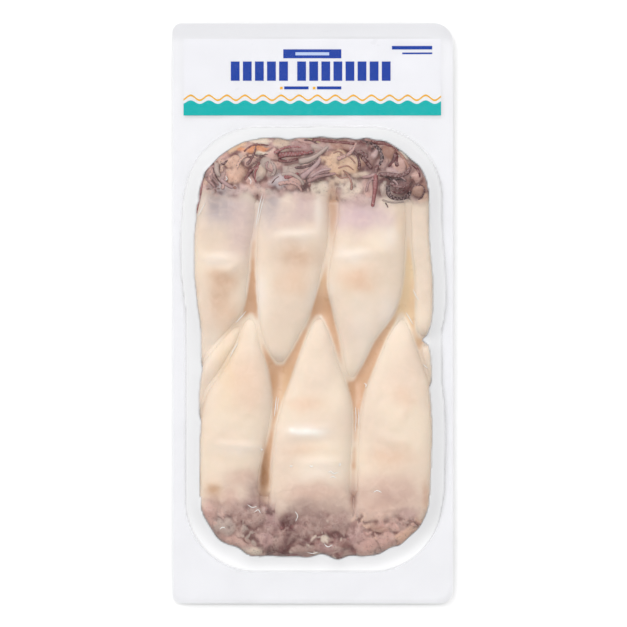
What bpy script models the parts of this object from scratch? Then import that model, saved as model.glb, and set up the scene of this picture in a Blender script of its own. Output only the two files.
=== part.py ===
"""Vacuum skin pack of whole cleaned squid, lying flat with its face up.

A shallow formed tray with a wide header carries a printed label.  In its well lie two rows of
squid mantles, mouths outwards and tips meeting in the middle, with the arms and tentacles
packed past the mouths at both ends.  A clear skin film covers everything down to the flange.
Units are metres, +X to the pack's right, +Y to the header, +Z up.  The origin is the middle of
the pack at the height of the surface that it lies on.
"""

from dataclasses import dataclass
from math import cos, pi, sin, sqrt

import bmesh
import bpy

MM = 0.001

# Pack
PACK_WIDTH = 150 * MM
PACK_LENGTH = 310 * MM
CORNER_RADII = (5 * MM, 10.5 * MM, 7 * MM, 5 * MM)  # header left, header right, foot right, foot left
WALL = 0.7 * MM
FLANGE_TOP = 5 * MM
ARC_STEPS = 6  # straight steps in each corner arc

# Well: its edge on the flange, and its flat floor
WELL_LEFT = -67 * MM
WELL_RIGHT = 68 * MM
WELL_FOOT = -137 * MM
WELL_HEAD = 98.5 * MM
WELL_CORNER = 35 * MM
FLOOR_CORNER = 31 * MM
SIDE_SLOPE = 2.2 * MM  # width in plan of the sloping wall at each side
HEAD_SLOPE = 3 * MM
FOOT_SLOPE = 5.5 * MM

# Clearances between neighbouring solids
GAP = 0.4 * MM
REST_GAP = 0.3 * MM

# Label
LABEL_LEFT = -69 * MM
LABEL_RIGHT = 68.5 * MM
LABEL_FOOT = 105.5 * MM
LABEL_HEAD = 146.5 * MM
LABEL_THICKNESS = 0.3 * MM

# Contents: the block that the packed squid fill
BLOCK_LEFT = -61.5 * MM
BLOCK_RIGHT = 63 * MM
BLOCK_HEAD = 95 * MM
BLOCK_FOOT = -131 * MM
BLOCK_CORNER_X = 36 * MM  # its corners are quarters of a flattened ellipse
BLOCK_CORNER_Y = 33 * MM
BLOCK_CORNER_POWER = 1.8
HEAD_MOUTHS = 58 * MM  # where the mantles of the header row open
FOOT_MOUTHS = -96 * MM  # where the mantles of the foot row open
FLOOR_TOP = WALL + REST_GAP
SECTION_POWER = 2.5  # 2 is an ellipse, more is boxier
SECTION_POINTS = 14
SIDE_ROUNDING = 3 * MM  # how far in from its side a cluster reaches its full height
END_ROUNDING = 9 * MM
CLUSTER_ROWS = 9

# Film
FILM_THICKNESS = 0.3 * MM
FILM_CELL = 7 * MM
FILM_PROBE = 2 * MM


@dataclass
class Mantle:
    """A squid's body tube, flattened by the film: a rounded sack from its mouth to its tip."""

    name: str
    crest: float  # height of its top above the well floor where it is widest
    mouth_y: float
    sides: tuple  # its outline in mm, mouth to tip: y, left edge and right edge
    tip_y: float

    def edges(self, y):
        """Left and right edge at y, or None past either end."""
        start, end = sorted((self.mouth_y, self.tip_y))
        if not start <= y <= end:
            return None
        rows = sorted((along * MM, left * MM, right * MM) for along, left, right in self.sides)
        below = [row for row in rows if row[0] <= y]
        above = [row for row in rows if row[0] > y]
        if below and above:
            before, after = below[-1], above[0]
            share = (y - before[0]) / (after[0] - before[0])
            return tuple(before[side] + (after[side] - before[side]) * share for side in (1, 2))
        _, left, right = below[-1] if below else above[0]
        return left, right

    def height(self, y):
        """Height of the tube above the well floor at y: lower where it is narrower."""
        left, right = self.edges(y)
        widest = max(right - left for _, left, right in self.sides) * MM
        return self.crest * (0.45 + 0.55 * ((right - left) / widest) ** 0.6)

    def top(self, x, y):
        edges = self.edges(y)
        if edges is None or not edges[0] < x < edges[1]:
            return 0.0
        across = abs(2 * (x - edges[0]) / (edges[1] - edges[0]) - 1)
        round_off = (1 - across**SECTION_POWER) ** (1 / SECTION_POWER)
        return FLOOR_TOP + self.height(y) * (1 + round_off) / 2


@dataclass
class Tentacles:
    """Arms and tentacles of one or two squid, packed flat: one solid with the arms as ridges."""

    name: str
    left: float
    right: float
    at_head: bool  # at the header end of the well, or at its foot
    crest: float
    arm_pitch: float  # distance between neighbouring arms
    sweep: float  # sideways run of the arms for each metre along Y
    wave: float = 1 * MM  # depth of the uneven outer edge

    def edges(self, x):
        """Lowest and highest y at x: the mantles' mouths, and the block's rounded, uneven end."""
        uneven = self.wave * (1 + sin(2 * pi * x / (3.5 * self.arm_pitch)))
        if self.at_head:
            return HEAD_MOUTHS + GAP, BLOCK_HEAD - block_inset(x) - uneven
        return BLOCK_FOOT + block_inset(x) + uneven, FOOT_MOUTHS - GAP

    def top(self, x, y):
        low, high = self.edges(x)
        if not (self.left < x < self.right and low < y < high):
            return 0.0
        to_side = min(x - self.left, self.right - x) / SIDE_ROUNDING
        to_mouths, to_end = (y - low, high - y) if self.at_head else (high - y, y - low)
        round_off = 1.0
        for nearness in (to_side, to_mouths / SIDE_ROUNDING, to_end / END_ROUNDING):
            round_off *= sqrt(min(1.0, max(0.0, nearness)))
        ridge = abs(sin(pi * (x - self.sweep * y) / self.arm_pitch))
        return FLOOR_TOP + self.crest * (0.35 + (0.47 + 0.18 * ridge) * round_off)


def block_inset(x):
    """How far the rounded corners draw the block's ends in at x."""
    past = max(0.0, (BLOCK_LEFT + BLOCK_CORNER_X) - x, x - (BLOCK_RIGHT - BLOCK_CORNER_X)) / BLOCK_CORNER_X
    return BLOCK_CORNER_Y * (1 - max(0.0, 1 - past**BLOCK_CORNER_POWER) ** (1 / BLOCK_CORNER_POWER))


HEAD_ROW = (
    Mantle(
        "mantle_head_first", 14 * MM, HEAD_MOUTHS,
        (
            (57.5, -61.5, -28.2), (45, -63.8, -30.6), (35, -64.3, -32.6), (22, -64.3, -33.2),
            (12.5, -63.2, -34.5), (2, -62.2, -36.8), (-4, -60.8, -40.3), (-9, -60, -44.6),
            (-15.5, -60, -50.4), (-22, -60.2, -55.4), (-26, -60.4, -58.2),
        ),
        -28.5 * MM,
    ),
    Mantle(
        "mantle_head_second", 15 * MM, HEAD_MOUTHS,
        (
            (57.5, -27.6, 8.7), (47, -29.4, 9), (35.5, -30.2, 8.7), (28.5, -30.5, 7.1),
            (19.5, -30.2, 5), (12.5, -29.9, 2.5), (5.5, -29.1, 0.1), (-4, -28.3, -2.5),
            (-15, -26.4, -8.5), (-22.5, -22.7, -12.7), (-25.5, -20.5, -14.8),
        ),
        -28 * MM,
    ),
    Mantle(
        "mantle_head_third", 15.5 * MM, HEAD_MOUTHS,
        (
            (57.5, 13.8, 49), (49.5, 13.3, 49.7), (44.5, 11.3, 49.7), (31.5, 9.3, 49.4),
            (22, 7.5, 49), (12.5, 7.6, 47.4), (7, 9.4, 46.3), (-3.5, 11.7, 41.5),
            (-15.5, 14.6, 31.8), (-23.5, 15.7, 28.3), (-30, 17, 24.6), (-34.5, 18.2, 21.8),
        ),
        -37 * MM,
    ),
    Mantle(
        "mantle_head_fourth", 12 * MM, HEAD_MOUTHS,
        (
            (57.5, 51.7, 61.5), (47, 51.3, 62.2), (37.5, 51.6, 62.9), (19.5, 54, 64.8), (2, 55, 64.9),
            (-6, 54.8, 64), (-11, 54.5, 62.5),
        ),
        -14 * MM,
    ),
)
FOOT_ROW = (
    Mantle(
        "mantle_foot_left", 15 * MM, FOOT_MOUTHS,
        (
            (-95.5, -59.4, -30.2), (-84, -60.8, -28), (-73.5, -61, -25.5), (-62.5, -60.5, -22.6),
            (-52, -58.6, -21.2), (-41.5, -55.6, -21.9), (-30.5, -47.9, -23.8), (-23, -43.9, -26),
            (-15.5, -39.6, -28.4), (-6.5, -37.2, -29.7), (-2.5, -35.3, -30.3),
        ),
        1 * MM,
    ),
    Mantle(
        "mantle_foot_middle", 15.5 * MM, FOOT_MOUTHS,
        (
            (-95.5, -22.6, 20.2), (-81, -22.8, 20.6), (-68, -21.2, 21.4), (-57, -19.6, 21.8),
            (-48, -17, 21), (-39, -12.7, 18.3), (-29, -9.3, 14.6), (-15.5, -4.7, 10.9), (-5, -0.7, 6.6), (-2.5, 0.8, 5.2),
        ),
        -0.5 * MM,
    ),
    Mantle(
        "mantle_foot_right", 15 * MM, FOOT_MOUTHS,
        (
            (-95.5, 22.6, 63), (-81, 22.8, 64.2), (-68, 23.2, 64.5), (-54.5, 24.3, 64.5),
            (-40.5, 27.9, 63.2), (-31.5, 31.8, 59.3), (-22.5, 35.6, 56.5), (-12, 39.7, 53),
            (-5, 44.2, 50.6), (-2, 45.3, 48.6),
        ),
        1 * MM,
    ),
)
LOWER_MANTLES = (
    Mantle(
        "mantle_lower_left", 12 * MM, -57 * MM,
        (
            (-52, -61.6, -59.5), (-41.5, -61.1, -56.6), (-33, -59.8, -50.6), (-24.5, -56.6, -45.9),
            (-15.5, -49.1, -40.6), (-6.5, -41.9, -38.2), (-2.5, -38.6, -36.6),
        ),
        0,
    ),
    Mantle(
        "mantle_lower_middle", 11 * MM, HEAD_MOUTHS,
        ((57.5, 9.3, 13.2), (50, 9.8, 12.7), (45, 9.8, 10.8)),
        41 * MM,
    ),
    Mantle(
        "mantle_lower_right", 10 * MM, -15 * MM,
        ((-15.5, 58.5, 62), (-22, 57.8, 63.6), (-30, 60.4, 64.2), (-36, 62.3, 64.8)),
        -38.5 * MM,
    ),
)


def make_tentacles():
    seams = {True: (-27 * MM, 14.5 * MM), False: (-22 * MM, 21.5 * MM)}  # between neighbouring clusters
    looks = {
        ("head", "left"): (13 * MM, 7 * MM, 0.5),
        ("head", "middle"): (13 * MM, 6 * MM, 1.4),
        ("head", "right"): (13.5 * MM, 8 * MM, -0.6),
        ("foot", "left"): (13 * MM, 8 * MM, -0.7),
        ("foot", "middle"): (13 * MM, 7 * MM, 0.8),
        ("foot", "right"): (13 * MM, 9 * MM, 0.4),
    }
    clusters = []
    for (end, side), (crest, arm_pitch, sweep) in looks.items():
        at_head = end == "head"
        first_seam, second_seam = seams[at_head]
        left, right = {
            "left": (BLOCK_LEFT, first_seam - GAP),
            "middle": (first_seam, second_seam - GAP),
            "right": (second_seam, BLOCK_RIGHT),
        }[side]
        clusters.append(Tentacles(f"tentacles_{end}_{side}", left, right, at_head, crest, arm_pitch, sweep))
    return clusters


def rounded_outline(left, right, foot, head, radii, z):
    """A ring of points round a rectangle, anticlockwise from its head right corner.

    radii are those of the head left, head right, foot right and foot left corners.
    """
    head_left, head_right, foot_right, foot_left = radii
    corners = (
        (right, head, -1, -1, head_right, 0),
        (left, head, 1, -1, head_left, 1),
        (left, foot, 1, 1, foot_left, 2),
        (right, foot, -1, 1, foot_right, 3),
    )
    points = []
    for x, y, inward_x, inward_y, radius, quarter in corners:
        for step in range(ARC_STEPS + 1):
            angle = (quarter + step / ARC_STEPS) * pi / 2
            points.append((x + inward_x * radius + radius * cos(angle), y + inward_y * radius + radius * sin(angle), z))
    return points


def make_object(name, bm, colour, roughness, alpha=1.0):
    bmesh.ops.triangulate(bm, faces=[face for face in bm.faces if len(face.verts) > 3])
    bmesh.ops.recalc_face_normals(bm, faces=bm.faces)
    mesh = bpy.data.meshes.new(name)
    bm.to_mesh(mesh)
    bm.free()
    mesh.shade_smooth()
    mesh.set_sharp_from_angle(angle=40 * pi / 180)
    material = bpy.data.materials.new(name)
    material.use_nodes = True
    shader = material.node_tree.nodes["Principled BSDF"]
    shader.inputs["Base Color"].default_value = (*colour, 1)
    shader.inputs["Roughness"].default_value = roughness
    shader.inputs["Alpha"].default_value = alpha
    mesh.materials.append(material)
    made = bpy.data.objects.new(name, mesh)
    bpy.context.scene.collection.objects.link(made)
    return made


def join_rings(bm, rings, closed=False):
    """Skin a list of equal rings of vertices with quads; closed joins the last ring to the first."""
    followers = rings[1:] + rings[:1] if closed else rings[1:]
    for ring, following in zip(rings, followers):
        for i in range(len(ring)):
            j = (i + 1) % len(ring)
            bm.faces.new((ring[i], ring[j], following[j], following[i]))


def make_tray():
    """Flange, sloping well wall and floor, of one wall thickness, with the floor's underside at z = 0."""
    half_width = PACK_WIDTH / 2
    half_length = PACK_LENGTH / 2

    def rings(z_flange, z_floor, spread):
        """The three outlines of one side of the sheet; spread moves the wall outwards in plan."""
        return (
            rounded_outline(-half_width, half_width, -half_length, half_length, CORNER_RADII, z_flange),
            rounded_outline(
                WELL_LEFT - spread, WELL_RIGHT + spread, WELL_FOOT - spread, WELL_HEAD + spread,
                [WELL_CORNER + spread] * 4, z_flange,
            ),
            rounded_outline(
                WELL_LEFT + SIDE_SLOPE - spread, WELL_RIGHT - SIDE_SLOPE + spread,
                WELL_FOOT + FOOT_SLOPE - spread, WELL_HEAD - HEAD_SLOPE + spread,
                [FLOOR_CORNER + spread] * 4, z_floor,
            ),
        )

    bm = bmesh.new()
    upper = [[bm.verts.new(point) for point in ring] for ring in rings(FLANGE_TOP, WALL, 0)]
    lower = [[bm.verts.new(point) for point in ring] for ring in rings(FLANGE_TOP - WALL, 0, WALL / 2)]
    join_rings(bm, upper)
    join_rings(bm, lower)
    join_rings(bm, [upper[0], lower[0]])
    bm.faces.new(upper[-1])
    bm.faces.new(lower[-1])
    return make_object("tray", bm, (0.86, 0.86, 0.87), 0.4)


def make_label():
    bm = bmesh.new()
    bottom = FLANGE_TOP + REST_GAP
    outlines = [
        rounded_outline(LABEL_LEFT, LABEL_RIGHT, LABEL_FOOT, LABEL_HEAD, [1 * MM] * 4, z)
        for z in (bottom, bottom + LABEL_THICKNESS)
    ]
    rings = [[bm.verts.new(point) for point in outline] for outline in outlines]
    join_rings(bm, rings)
    bm.faces.new(rings[0])
    bm.faces.new(rings[1])
    return make_object("label", bm, (0.85, 0.85, 0.9), 0.35)


def sign_power(value, power):
    return abs(value) ** power * (1 if value >= 0 else -1)


def make_mantle(mantle):
    """Loft rounded sections along Y, and close each end to a point in the middle of its section."""
    bm = bmesh.new()
    rings = []
    for along, left, right in mantle.sides:
        y = along * MM
        middle, half = (left + right) / 2 * MM, (right - left) / 2 * MM
        height = mantle.height(y)
        ring = []
        for step in range(SECTION_POINTS):
            angle = 2 * pi * (step + 0.5) / SECTION_POINTS
            x = middle + half * sign_power(cos(angle), 2 / SECTION_POWER)
            z = FLOOR_TOP + height / 2 * (1 + sign_power(sin(angle), 2 / SECTION_POWER))
            ring.append(bm.verts.new((x, y, z)))
        rings.append(ring)
    join_rings(bm, rings)
    for ring, end_y in ((rings[0], mantle.mouth_y), (rings[-1], mantle.tip_y)):
        middle = sum((vert.co for vert in ring), ring[0].co * 0) / len(ring)
        middle.y = end_y
        cap = bm.verts.new(middle)
        for i in range(len(ring)):
            bm.faces.new((ring[i], ring[(i + 1) % len(ring)], cap))
    return make_object(mantle.name, bm, (0.84, 0.68, 0.56), 0.35)


def make_cluster(cluster):
    """A block lofted along X, whose top is a grid that follows the arms' ridges, on a flat base."""
    across = round((cluster.right - cluster.left) / (cluster.arm_pitch / 2))
    inside = 0.012  # the grid's rim stands just inside the edge, so that the top is above the base there
    bm = bmesh.new()
    rings = []
    for column in range(across + 1):
        share = inside + (1 - 2 * inside) * column / across
        x = cluster.left + (cluster.right - cluster.left) * share
        low, high = cluster.edges(x)
        ys = [
            low + (high - low) * (inside + (1 - 2 * inside) * row / CLUSTER_ROWS)
            for row in range(CLUSTER_ROWS + 1)
        ]
        top = [bm.verts.new((x, y, cluster.top(x, y))) for y in ys]
        base = [bm.verts.new((x, y, FLOOR_TOP)) for y in (ys[-1], ys[0])]
        rings.append(top + base)
    join_rings(bm, rings)
    bm.faces.new(rings[0])
    bm.faces.new(rings[-1])
    return make_object(cluster.name, bm, (0.35, 0.2, 0.2), 0.3)


def spread(start, end, cell):
    """Values from start to end, evenly spaced at about cell."""
    count = round(abs(end - start) / cell)
    return [start + (end - start) * step / count for step in range(count + 1)]


def make_film(contents):
    """A thin skin from edge to edge of the pack, draped clear of all that is under it."""
    half_width = PACK_WIDTH / 2 - 0.2 * MM
    half_length = PACK_LENGTH / 2 - 0.2 * MM
    round_corner = max(CORNER_RADII)
    on_flange = FLANGE_TOP + REST_GAP
    on_label = on_flange + LABEL_THICKNESS + REST_GAP

    block_x = spread(BLOCK_LEFT - 3 * MM, BLOCK_RIGHT + 3 * MM, FILM_CELL)
    block_y = spread(BLOCK_FOOT - 1 * MM, BLOCK_HEAD + 1 * MM, FILM_CELL)
    lines_x = [-half_width, WELL_LEFT - 2 * MM, *block_x, WELL_RIGHT + 1.5 * MM, half_width]
    lines_y = [-half_length, -half_length + round_corner, WELL_FOOT, *block_y]
    lines_y += [WELL_HEAD + 1 * MM, half_length - round_corner, half_length]

    def highest_near(x, y):
        """Highest point of the contents within one cell of x and y."""
        reach = round(FILM_CELL * 1.1 / FILM_PROBE)
        highest = 0.0
        for i in range(-reach, reach + 1):
            for j in range(-reach, reach + 1):
                tops = [piece.top(x + i * FILM_PROBE, y + j * FILM_PROBE) for piece in contents]
                highest = max(highest, *tops)
        return highest

    def on_outline(x, y):
        """Draws the film's four corner points in onto the pack's round corners."""
        if abs(x) == half_width and abs(y) == half_length:
            inward = round_corner * (1 - sqrt(0.5))
            return x - inward * (1 if x > 0 else -1), y - inward * (1 if y > 0 else -1)
        return x, y

    bm = bmesh.new()
    under = []
    over = []
    for y in lines_y:
        row = []
        for x in lines_x:
            z = on_flange if abs(x) == half_width or abs(y) == half_length else on_label
            if x in block_x and y in block_y:
                z = max(z, highest_near(x, y) + REST_GAP)
            row.append((*on_outline(x, y), z))
        under.append([bm.verts.new(point) for point in row])
        over.append([bm.verts.new((x, y, z + FILM_THICKNESS)) for x, y, z in row])
    for sheet in (under, over):
        for row, following in zip(sheet, sheet[1:]):
            for i in range(len(row) - 1):
                bm.faces.new((row[i], row[i + 1], following[i + 1], following[i]))

    def rim(sheet):
        right = [row[-1] for row in sheet[1:-1]]
        left = [row[0] for row in sheet[1:-1]]
        return sheet[0] + right + sheet[-1][::-1] + left[::-1]

    join_rings(bm, [rim(under), rim(over)])
    return make_object("skin_film", bm, (0.95, 0.95, 0.97), 0.1, alpha=0.25)


def main():
    for old in list(bpy.data.objects):
        bpy.data.objects.remove(old)
    mantles = [*HEAD_ROW, *FOOT_ROW, *LOWER_MANTLES]
    clusters = make_tentacles()
    make_tray()
    make_label()
    for mantle in mantles:
        make_mantle(mantle)
    for cluster in clusters:
        make_cluster(cluster)
    make_film(mantles + clusters)


main()
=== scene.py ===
"""Looks of the skin pack of whole cleaned squid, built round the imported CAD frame.

The mantles take their outlines from the CAD mantles.  Arms and lumps of flesh are piled onto
a core in each tentacle cluster, juice fills the gaps, and a clear film is stretched over all of it.
Lengths are in metres: MM turns millimetres into metres.
"""

from dataclasses import dataclass, replace
from math import cos, pi, sin

import bpy
import numpy as np
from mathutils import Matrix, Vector, noise
from mathutils.bvhtree import BVHTree


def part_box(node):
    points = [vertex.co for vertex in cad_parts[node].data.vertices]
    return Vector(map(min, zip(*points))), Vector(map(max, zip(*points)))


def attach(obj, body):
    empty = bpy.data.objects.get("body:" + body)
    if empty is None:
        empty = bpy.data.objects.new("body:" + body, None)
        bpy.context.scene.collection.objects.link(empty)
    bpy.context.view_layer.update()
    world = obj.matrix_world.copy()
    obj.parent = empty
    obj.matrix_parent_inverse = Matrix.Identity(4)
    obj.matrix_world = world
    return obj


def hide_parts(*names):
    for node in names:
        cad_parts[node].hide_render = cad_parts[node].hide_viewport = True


MM = 0.001
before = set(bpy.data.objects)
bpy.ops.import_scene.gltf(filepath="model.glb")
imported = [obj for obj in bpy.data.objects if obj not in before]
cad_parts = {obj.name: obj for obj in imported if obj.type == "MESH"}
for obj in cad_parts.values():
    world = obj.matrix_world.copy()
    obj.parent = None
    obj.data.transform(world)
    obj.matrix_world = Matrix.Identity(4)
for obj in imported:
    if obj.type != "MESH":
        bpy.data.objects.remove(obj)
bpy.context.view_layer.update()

# Places read from the frame
PACK_LOW, PACK_HIGH = (np.array(corner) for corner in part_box("tray"))
LABEL_LOW, LABEL_HIGH = (np.array(corner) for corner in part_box("label"))
FLANGE_TOP = PACK_HIGH[2]
SHEET = 0.7 * MM  # wall of the tray

# The well, as in the CAD tray
WELL = {"left": -67 * MM, "right": 68 * MM, "foot": -137 * MM, "head": 98.5 * MM, "corner": 37 * MM}
FLOOR = {"left": -64.3 * MM, "right": 65.3 * MM, "foot": -130.5 * MM, "head": 95.5 * MM, "corner": 31 * MM}
PACK_CORNERS = (10.5 * MM, 5 * MM, 5 * MM, 7 * MM)  # head right, head left, foot left, foot right

HEAD_ROW = ("mantle_head_first", "mantle_head_second", "mantle_head_third", "mantle_head_fourth")
FOOT_ROW = ("mantle_foot_left", "mantle_foot_middle", "mantle_foot_right")
LOWER = ("mantle_lower_left", "mantle_lower_middle", "mantle_lower_right")
CLUSTERS = tuple(f"tentacles_{end}_{side}" for end in ("head", "foot") for side in ("left", "middle", "right"))


# ---------------------------------------------------------------- colours and materials


def rgb(red, green, blue):
    """A colour given as it shows on a screen, 0 to 255, as linear values."""
    shown = np.array((red, green, blue)) / 255
    linear = np.where(shown <= 0.04045, shown / 12.92, ((shown + 0.055) / 1.055) ** 2.4)
    return tuple(float(value) for value in linear)


class Paint:
    """A material whose nodes are added one at a time."""

    def __init__(self, name, **shader_inputs):
        self.material = bpy.data.materials.new(name)
        self.material.use_nodes = True
        self.tree = self.material.node_tree
        self.shader = self.tree.nodes["Principled BSDF"]
        self.output = self.tree.nodes["Material Output"]
        self.place = self.tree.nodes.new("ShaderNodeTexCoord").outputs["Object"]
        for socket, value in shader_inputs.items():
            self.shader.inputs[socket.replace("_", " ")].default_value = value

    def node(self, kind, **settings):
        made = self.tree.nodes.new(kind)
        for key, value in settings.items():
            setattr(made, key, value)
        return made

    def plug(self, socket, value):
        """Sets a socket to a value, or links another socket to it."""
        if isinstance(value, bpy.types.NodeSocket):
            self.tree.links.new(value, socket)
        elif isinstance(value, tuple) and len(value) == 3 and socket.type == "RGBA":
            socket.default_value = (*value, 1)
        else:
            socket.default_value = value

    def noise(self, size, detail=3.0, distortion=0.0, stretch=(1, 1, 1)):
        """Noise from 0 to 1 whose features are about size across."""
        mapping = self.node("ShaderNodeMapping")
        mapping.inputs["Scale"].default_value = stretch
        self.plug(mapping.inputs["Vector"], self.place)
        texture = self.node("ShaderNodeTexNoise")
        self.plug(texture.inputs["Vector"], mapping.outputs["Vector"])
        texture.inputs["Scale"].default_value = 1 / size
        texture.inputs["Detail"].default_value = detail
        texture.inputs["Distortion"].default_value = distortion
        return texture.outputs["Fac"]

    def along(self, axis):
        """Place along the pack's X, Y or Z."""
        split = self.node("ShaderNodeSeparateXYZ")
        self.plug(split.inputs[0], self.place)
        return split.outputs[axis]

    def ramp(self, value, low, high):
        """0 where value is under low, 1 where it is over high, smooth between."""
        ramp = self.node("ShaderNodeMapRange", interpolation_type="SMOOTHSTEP")
        self.plug(ramp.inputs["Value"], value)
        ramp.inputs["From Min"].default_value = low
        ramp.inputs["From Max"].default_value = high
        return ramp.outputs["Result"]

    def math(self, operation, first, second):
        made = self.node("ShaderNodeMath", operation=operation)
        self.plug(made.inputs[0], first)
        self.plug(made.inputs[1], second)
        return made.outputs[0]

    def mix(self, factor, first, second, blend="MIX"):
        made = self.node("ShaderNodeMix", data_type="RGBA", blend_type=blend)
        self.plug(made.inputs[0], factor)
        self.plug(made.inputs[6], first)
        self.plug(made.inputs[7], second)
        return made.outputs[2]

    def mask(self, name):
        """A value stored on the mesh's vertices."""
        return self.node("ShaderNodeAttribute", attribute_name=name).outputs["Fac"]

    def tint(self, name):
        """A colour stored on the mesh's vertices."""
        return self.node("ShaderNodeAttribute", attribute_name=name).outputs["Color"]

    def bump(self, height, depth, strength=1.0):
        made = self.node("ShaderNodeBump")
        made.inputs["Distance"].default_value = depth
        made.inputs["Strength"].default_value = strength
        self.plug(made.inputs["Height"], height)
        self.plug(self.shader.inputs["Normal"], made.outputs["Normal"])

    def colour(self, value):
        self.plug(self.shader.inputs["Base Color"], value)

    def roughness(self, value):
        self.plug(self.shader.inputs["Roughness"], value)


def tray_material():
    paint = Paint("tray_plastic", Specular_IOR_Level=0.45)
    cloudy = paint.noise(18 * MM)
    white = paint.mix(cloudy, rgb(235, 235, 237), rgb(241, 241, 243))
    # the flange is a little darker towards its head end
    paint.colour(paint.mix(paint.ramp(paint.along("Y"), 143 * MM, 149 * MM), white, rgb(228, 228, 230)))
    paint.roughness(paint.ramp(cloudy, -2.0, 3.0))
    paint.bump(paint.noise(2.5 * MM), 0.05 * MM, 0.5)
    return paint.material


def label_material():
    paint = Paint("label_sheet", Specular_IOR_Level=0.4)
    paint.colour(paint.mix(paint.noise(25 * MM), rgb(234, 234, 237), rgb(240, 240, 243)))
    paint.roughness(paint.ramp(paint.noise(9 * MM), -0.6, 2.0))
    paint.bump(paint.noise(6 * MM, detail=4), 0.06 * MM, 0.5)
    return paint.material


def ink_material(name, colour):
    """Print: one colour, a little lighter and darker where the ink lies thinner and thicker."""
    paint = Paint(name, Specular_IOR_Level=0.0)
    lighter = tuple(0.98 * value + 0.02 for value in colour)
    paint.colour(paint.mix(paint.ramp(paint.noise(3 * MM), 0.45, 0.9), colour, lighter))
    paint.roughness(paint.ramp(paint.noise(8 * MM), -0.8, 1.6))
    return paint.material


def flesh_material():
    """Raw squid: the colour stored on the mesh; where it is torn open, veined and spotted, and darkened in the creases
    by painted shade.
    """
    paint = Paint("squid_flesh", Subsurface_Weight=0.2, Subsurface_Scale=1.8 * MM, Specular_IOR_Level=0.42)
    paint.shader.inputs["Subsurface Radius"].default_value = (1.0, 0.7, 0.5)
    base = paint.tint("tint")
    torn = paint.mask("torn")
    cloud = paint.noise(4.5 * MM, detail=4, distortion=0.8)
    colour = paint.mix(paint.ramp(cloud, 0.3, 0.9), base, paint.mix(0.35, base, rgb(248, 230, 216)))
    veins = paint.math("MULTIPLY", torn, paint.ramp(paint.noise(2.6 * MM, detail=5, distortion=1.6), 0.54, 0.78))
    colour = paint.mix(veins, colour, paint.mix(0.35, base, rgb(120, 72, 70)))
    # painted shade: the creases are darkened towards a deep red-brown
    crease = paint.math("MULTIPLY", paint.mask("flank"), 0.9)
    colour = paint.mix(crease, colour, paint.mix(0.75, base, rgb(92, 36, 36)))
    dots = paint.math("MULTIPLY", torn, paint.ramp(paint.noise(0.8 * MM, detail=0), 0.70, 0.75))
    colour = paint.mix(paint.math("MULTIPLY", dots, 0.3), colour, rgb(84, 52, 56))
    paint.colour(colour)
    paint.roughness(paint.ramp(cloud, -1.1, 1.8))
    paint.bump(paint.noise(1.3 * MM, detail=4), 0.06 * MM, 0.35)
    return paint.material


def arm_material():
    """Skinned arms: streaked along, with painted shade darkening their flanks, and skin spots."""
    paint = Paint("squid_arms", Subsurface_Weight=0.1, Subsurface_Scale=0.8 * MM, Specular_IOR_Level=0.5)
    paint.shader.inputs["Subsurface Radius"].default_value = (1.0, 0.5, 0.4)
    base = paint.tint("tint")
    streaks = paint.noise(1.8 * MM, detail=4, distortion=1.0)
    colour = paint.mix(paint.ramp(streaks, 0.42, 0.78), base, paint.mix(0.5, base, rgb(224, 194, 188)))
    # painted shade: an arm's sides and underside are darkened towards a deep plum
    flank = paint.math("MULTIPLY", paint.mask("flank"), 0.7)
    colour = paint.mix(flank, colour, paint.mix(0.85, base, rgb(52, 26, 30)))
    paint.colour(colour)
    paint.roughness(paint.ramp(streaks, -0.8, 1.8))
    paint.bump(paint.noise(0.9 * MM, detail=3), 0.06 * MM, 0.4)
    return paint.material


def juice_material():
    """Juice in the gaps: the colour stored on the mesh, still and glossy."""
    paint = Paint("juice", Subsurface_Weight=0.15, Subsurface_Scale=2 * MM, Specular_IOR_Level=0.5)
    paint.shader.inputs["Subsurface Radius"].default_value = (1.0, 0.7, 0.45)
    cloud = paint.ramp(paint.noise(9 * MM), 0.35, 0.8)
    base = paint.tint("tint")
    paint.colour(paint.mix(cloud, base, paint.mix(0.25, base, rgb(240, 214, 190))))
    paint.roughness(paint.ramp(paint.noise(5 * MM), -0.6, 2.2))
    return paint.material


def film_material():
    """Clear film: light goes through, apart from the gloss and a white haze where it lies on the tray's wall."""
    paint = Paint("clear_film")
    haze = paint.mask("haze")
    clear = paint.node("ShaderNodeBsdfTransparent")
    facing = paint.node("ShaderNodeFresnel")
    facing.inputs["IOR"].default_value = 1.3
    mixed = paint.node("ShaderNodeMixShader")
    paint.plug(mixed.inputs[0], paint.math("MAXIMUM", facing.outputs[0], haze))
    paint.plug(mixed.inputs[1], clear.outputs[0])
    paint.plug(mixed.inputs[2], paint.shader.outputs[0])
    paint.plug(paint.output.inputs["Surface"], mixed.outputs[0])
    paint.plug(paint.shader.inputs["Metallic"], paint.math("SUBTRACT", 1.0, haze))
    # painted light: the haze is whiter where the pale mask is set, on steep film and towards the foot
    white = paint.mix(paint.mask("pale"), rgb(233, 233, 234), rgb(252, 252, 253))
    paint.colour(paint.mix(haze, rgb(252, 252, 254), white))
    paint.roughness(paint.math("ADD", paint.math("MULTIPLY", haze, 0.35), paint.ramp(paint.noise(9 * MM), -6.0, 9.0)))
    paint.bump(paint.noise(1.8 * MM, detail=3), 0.05 * MM, 0.5)
    return paint.material


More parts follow.
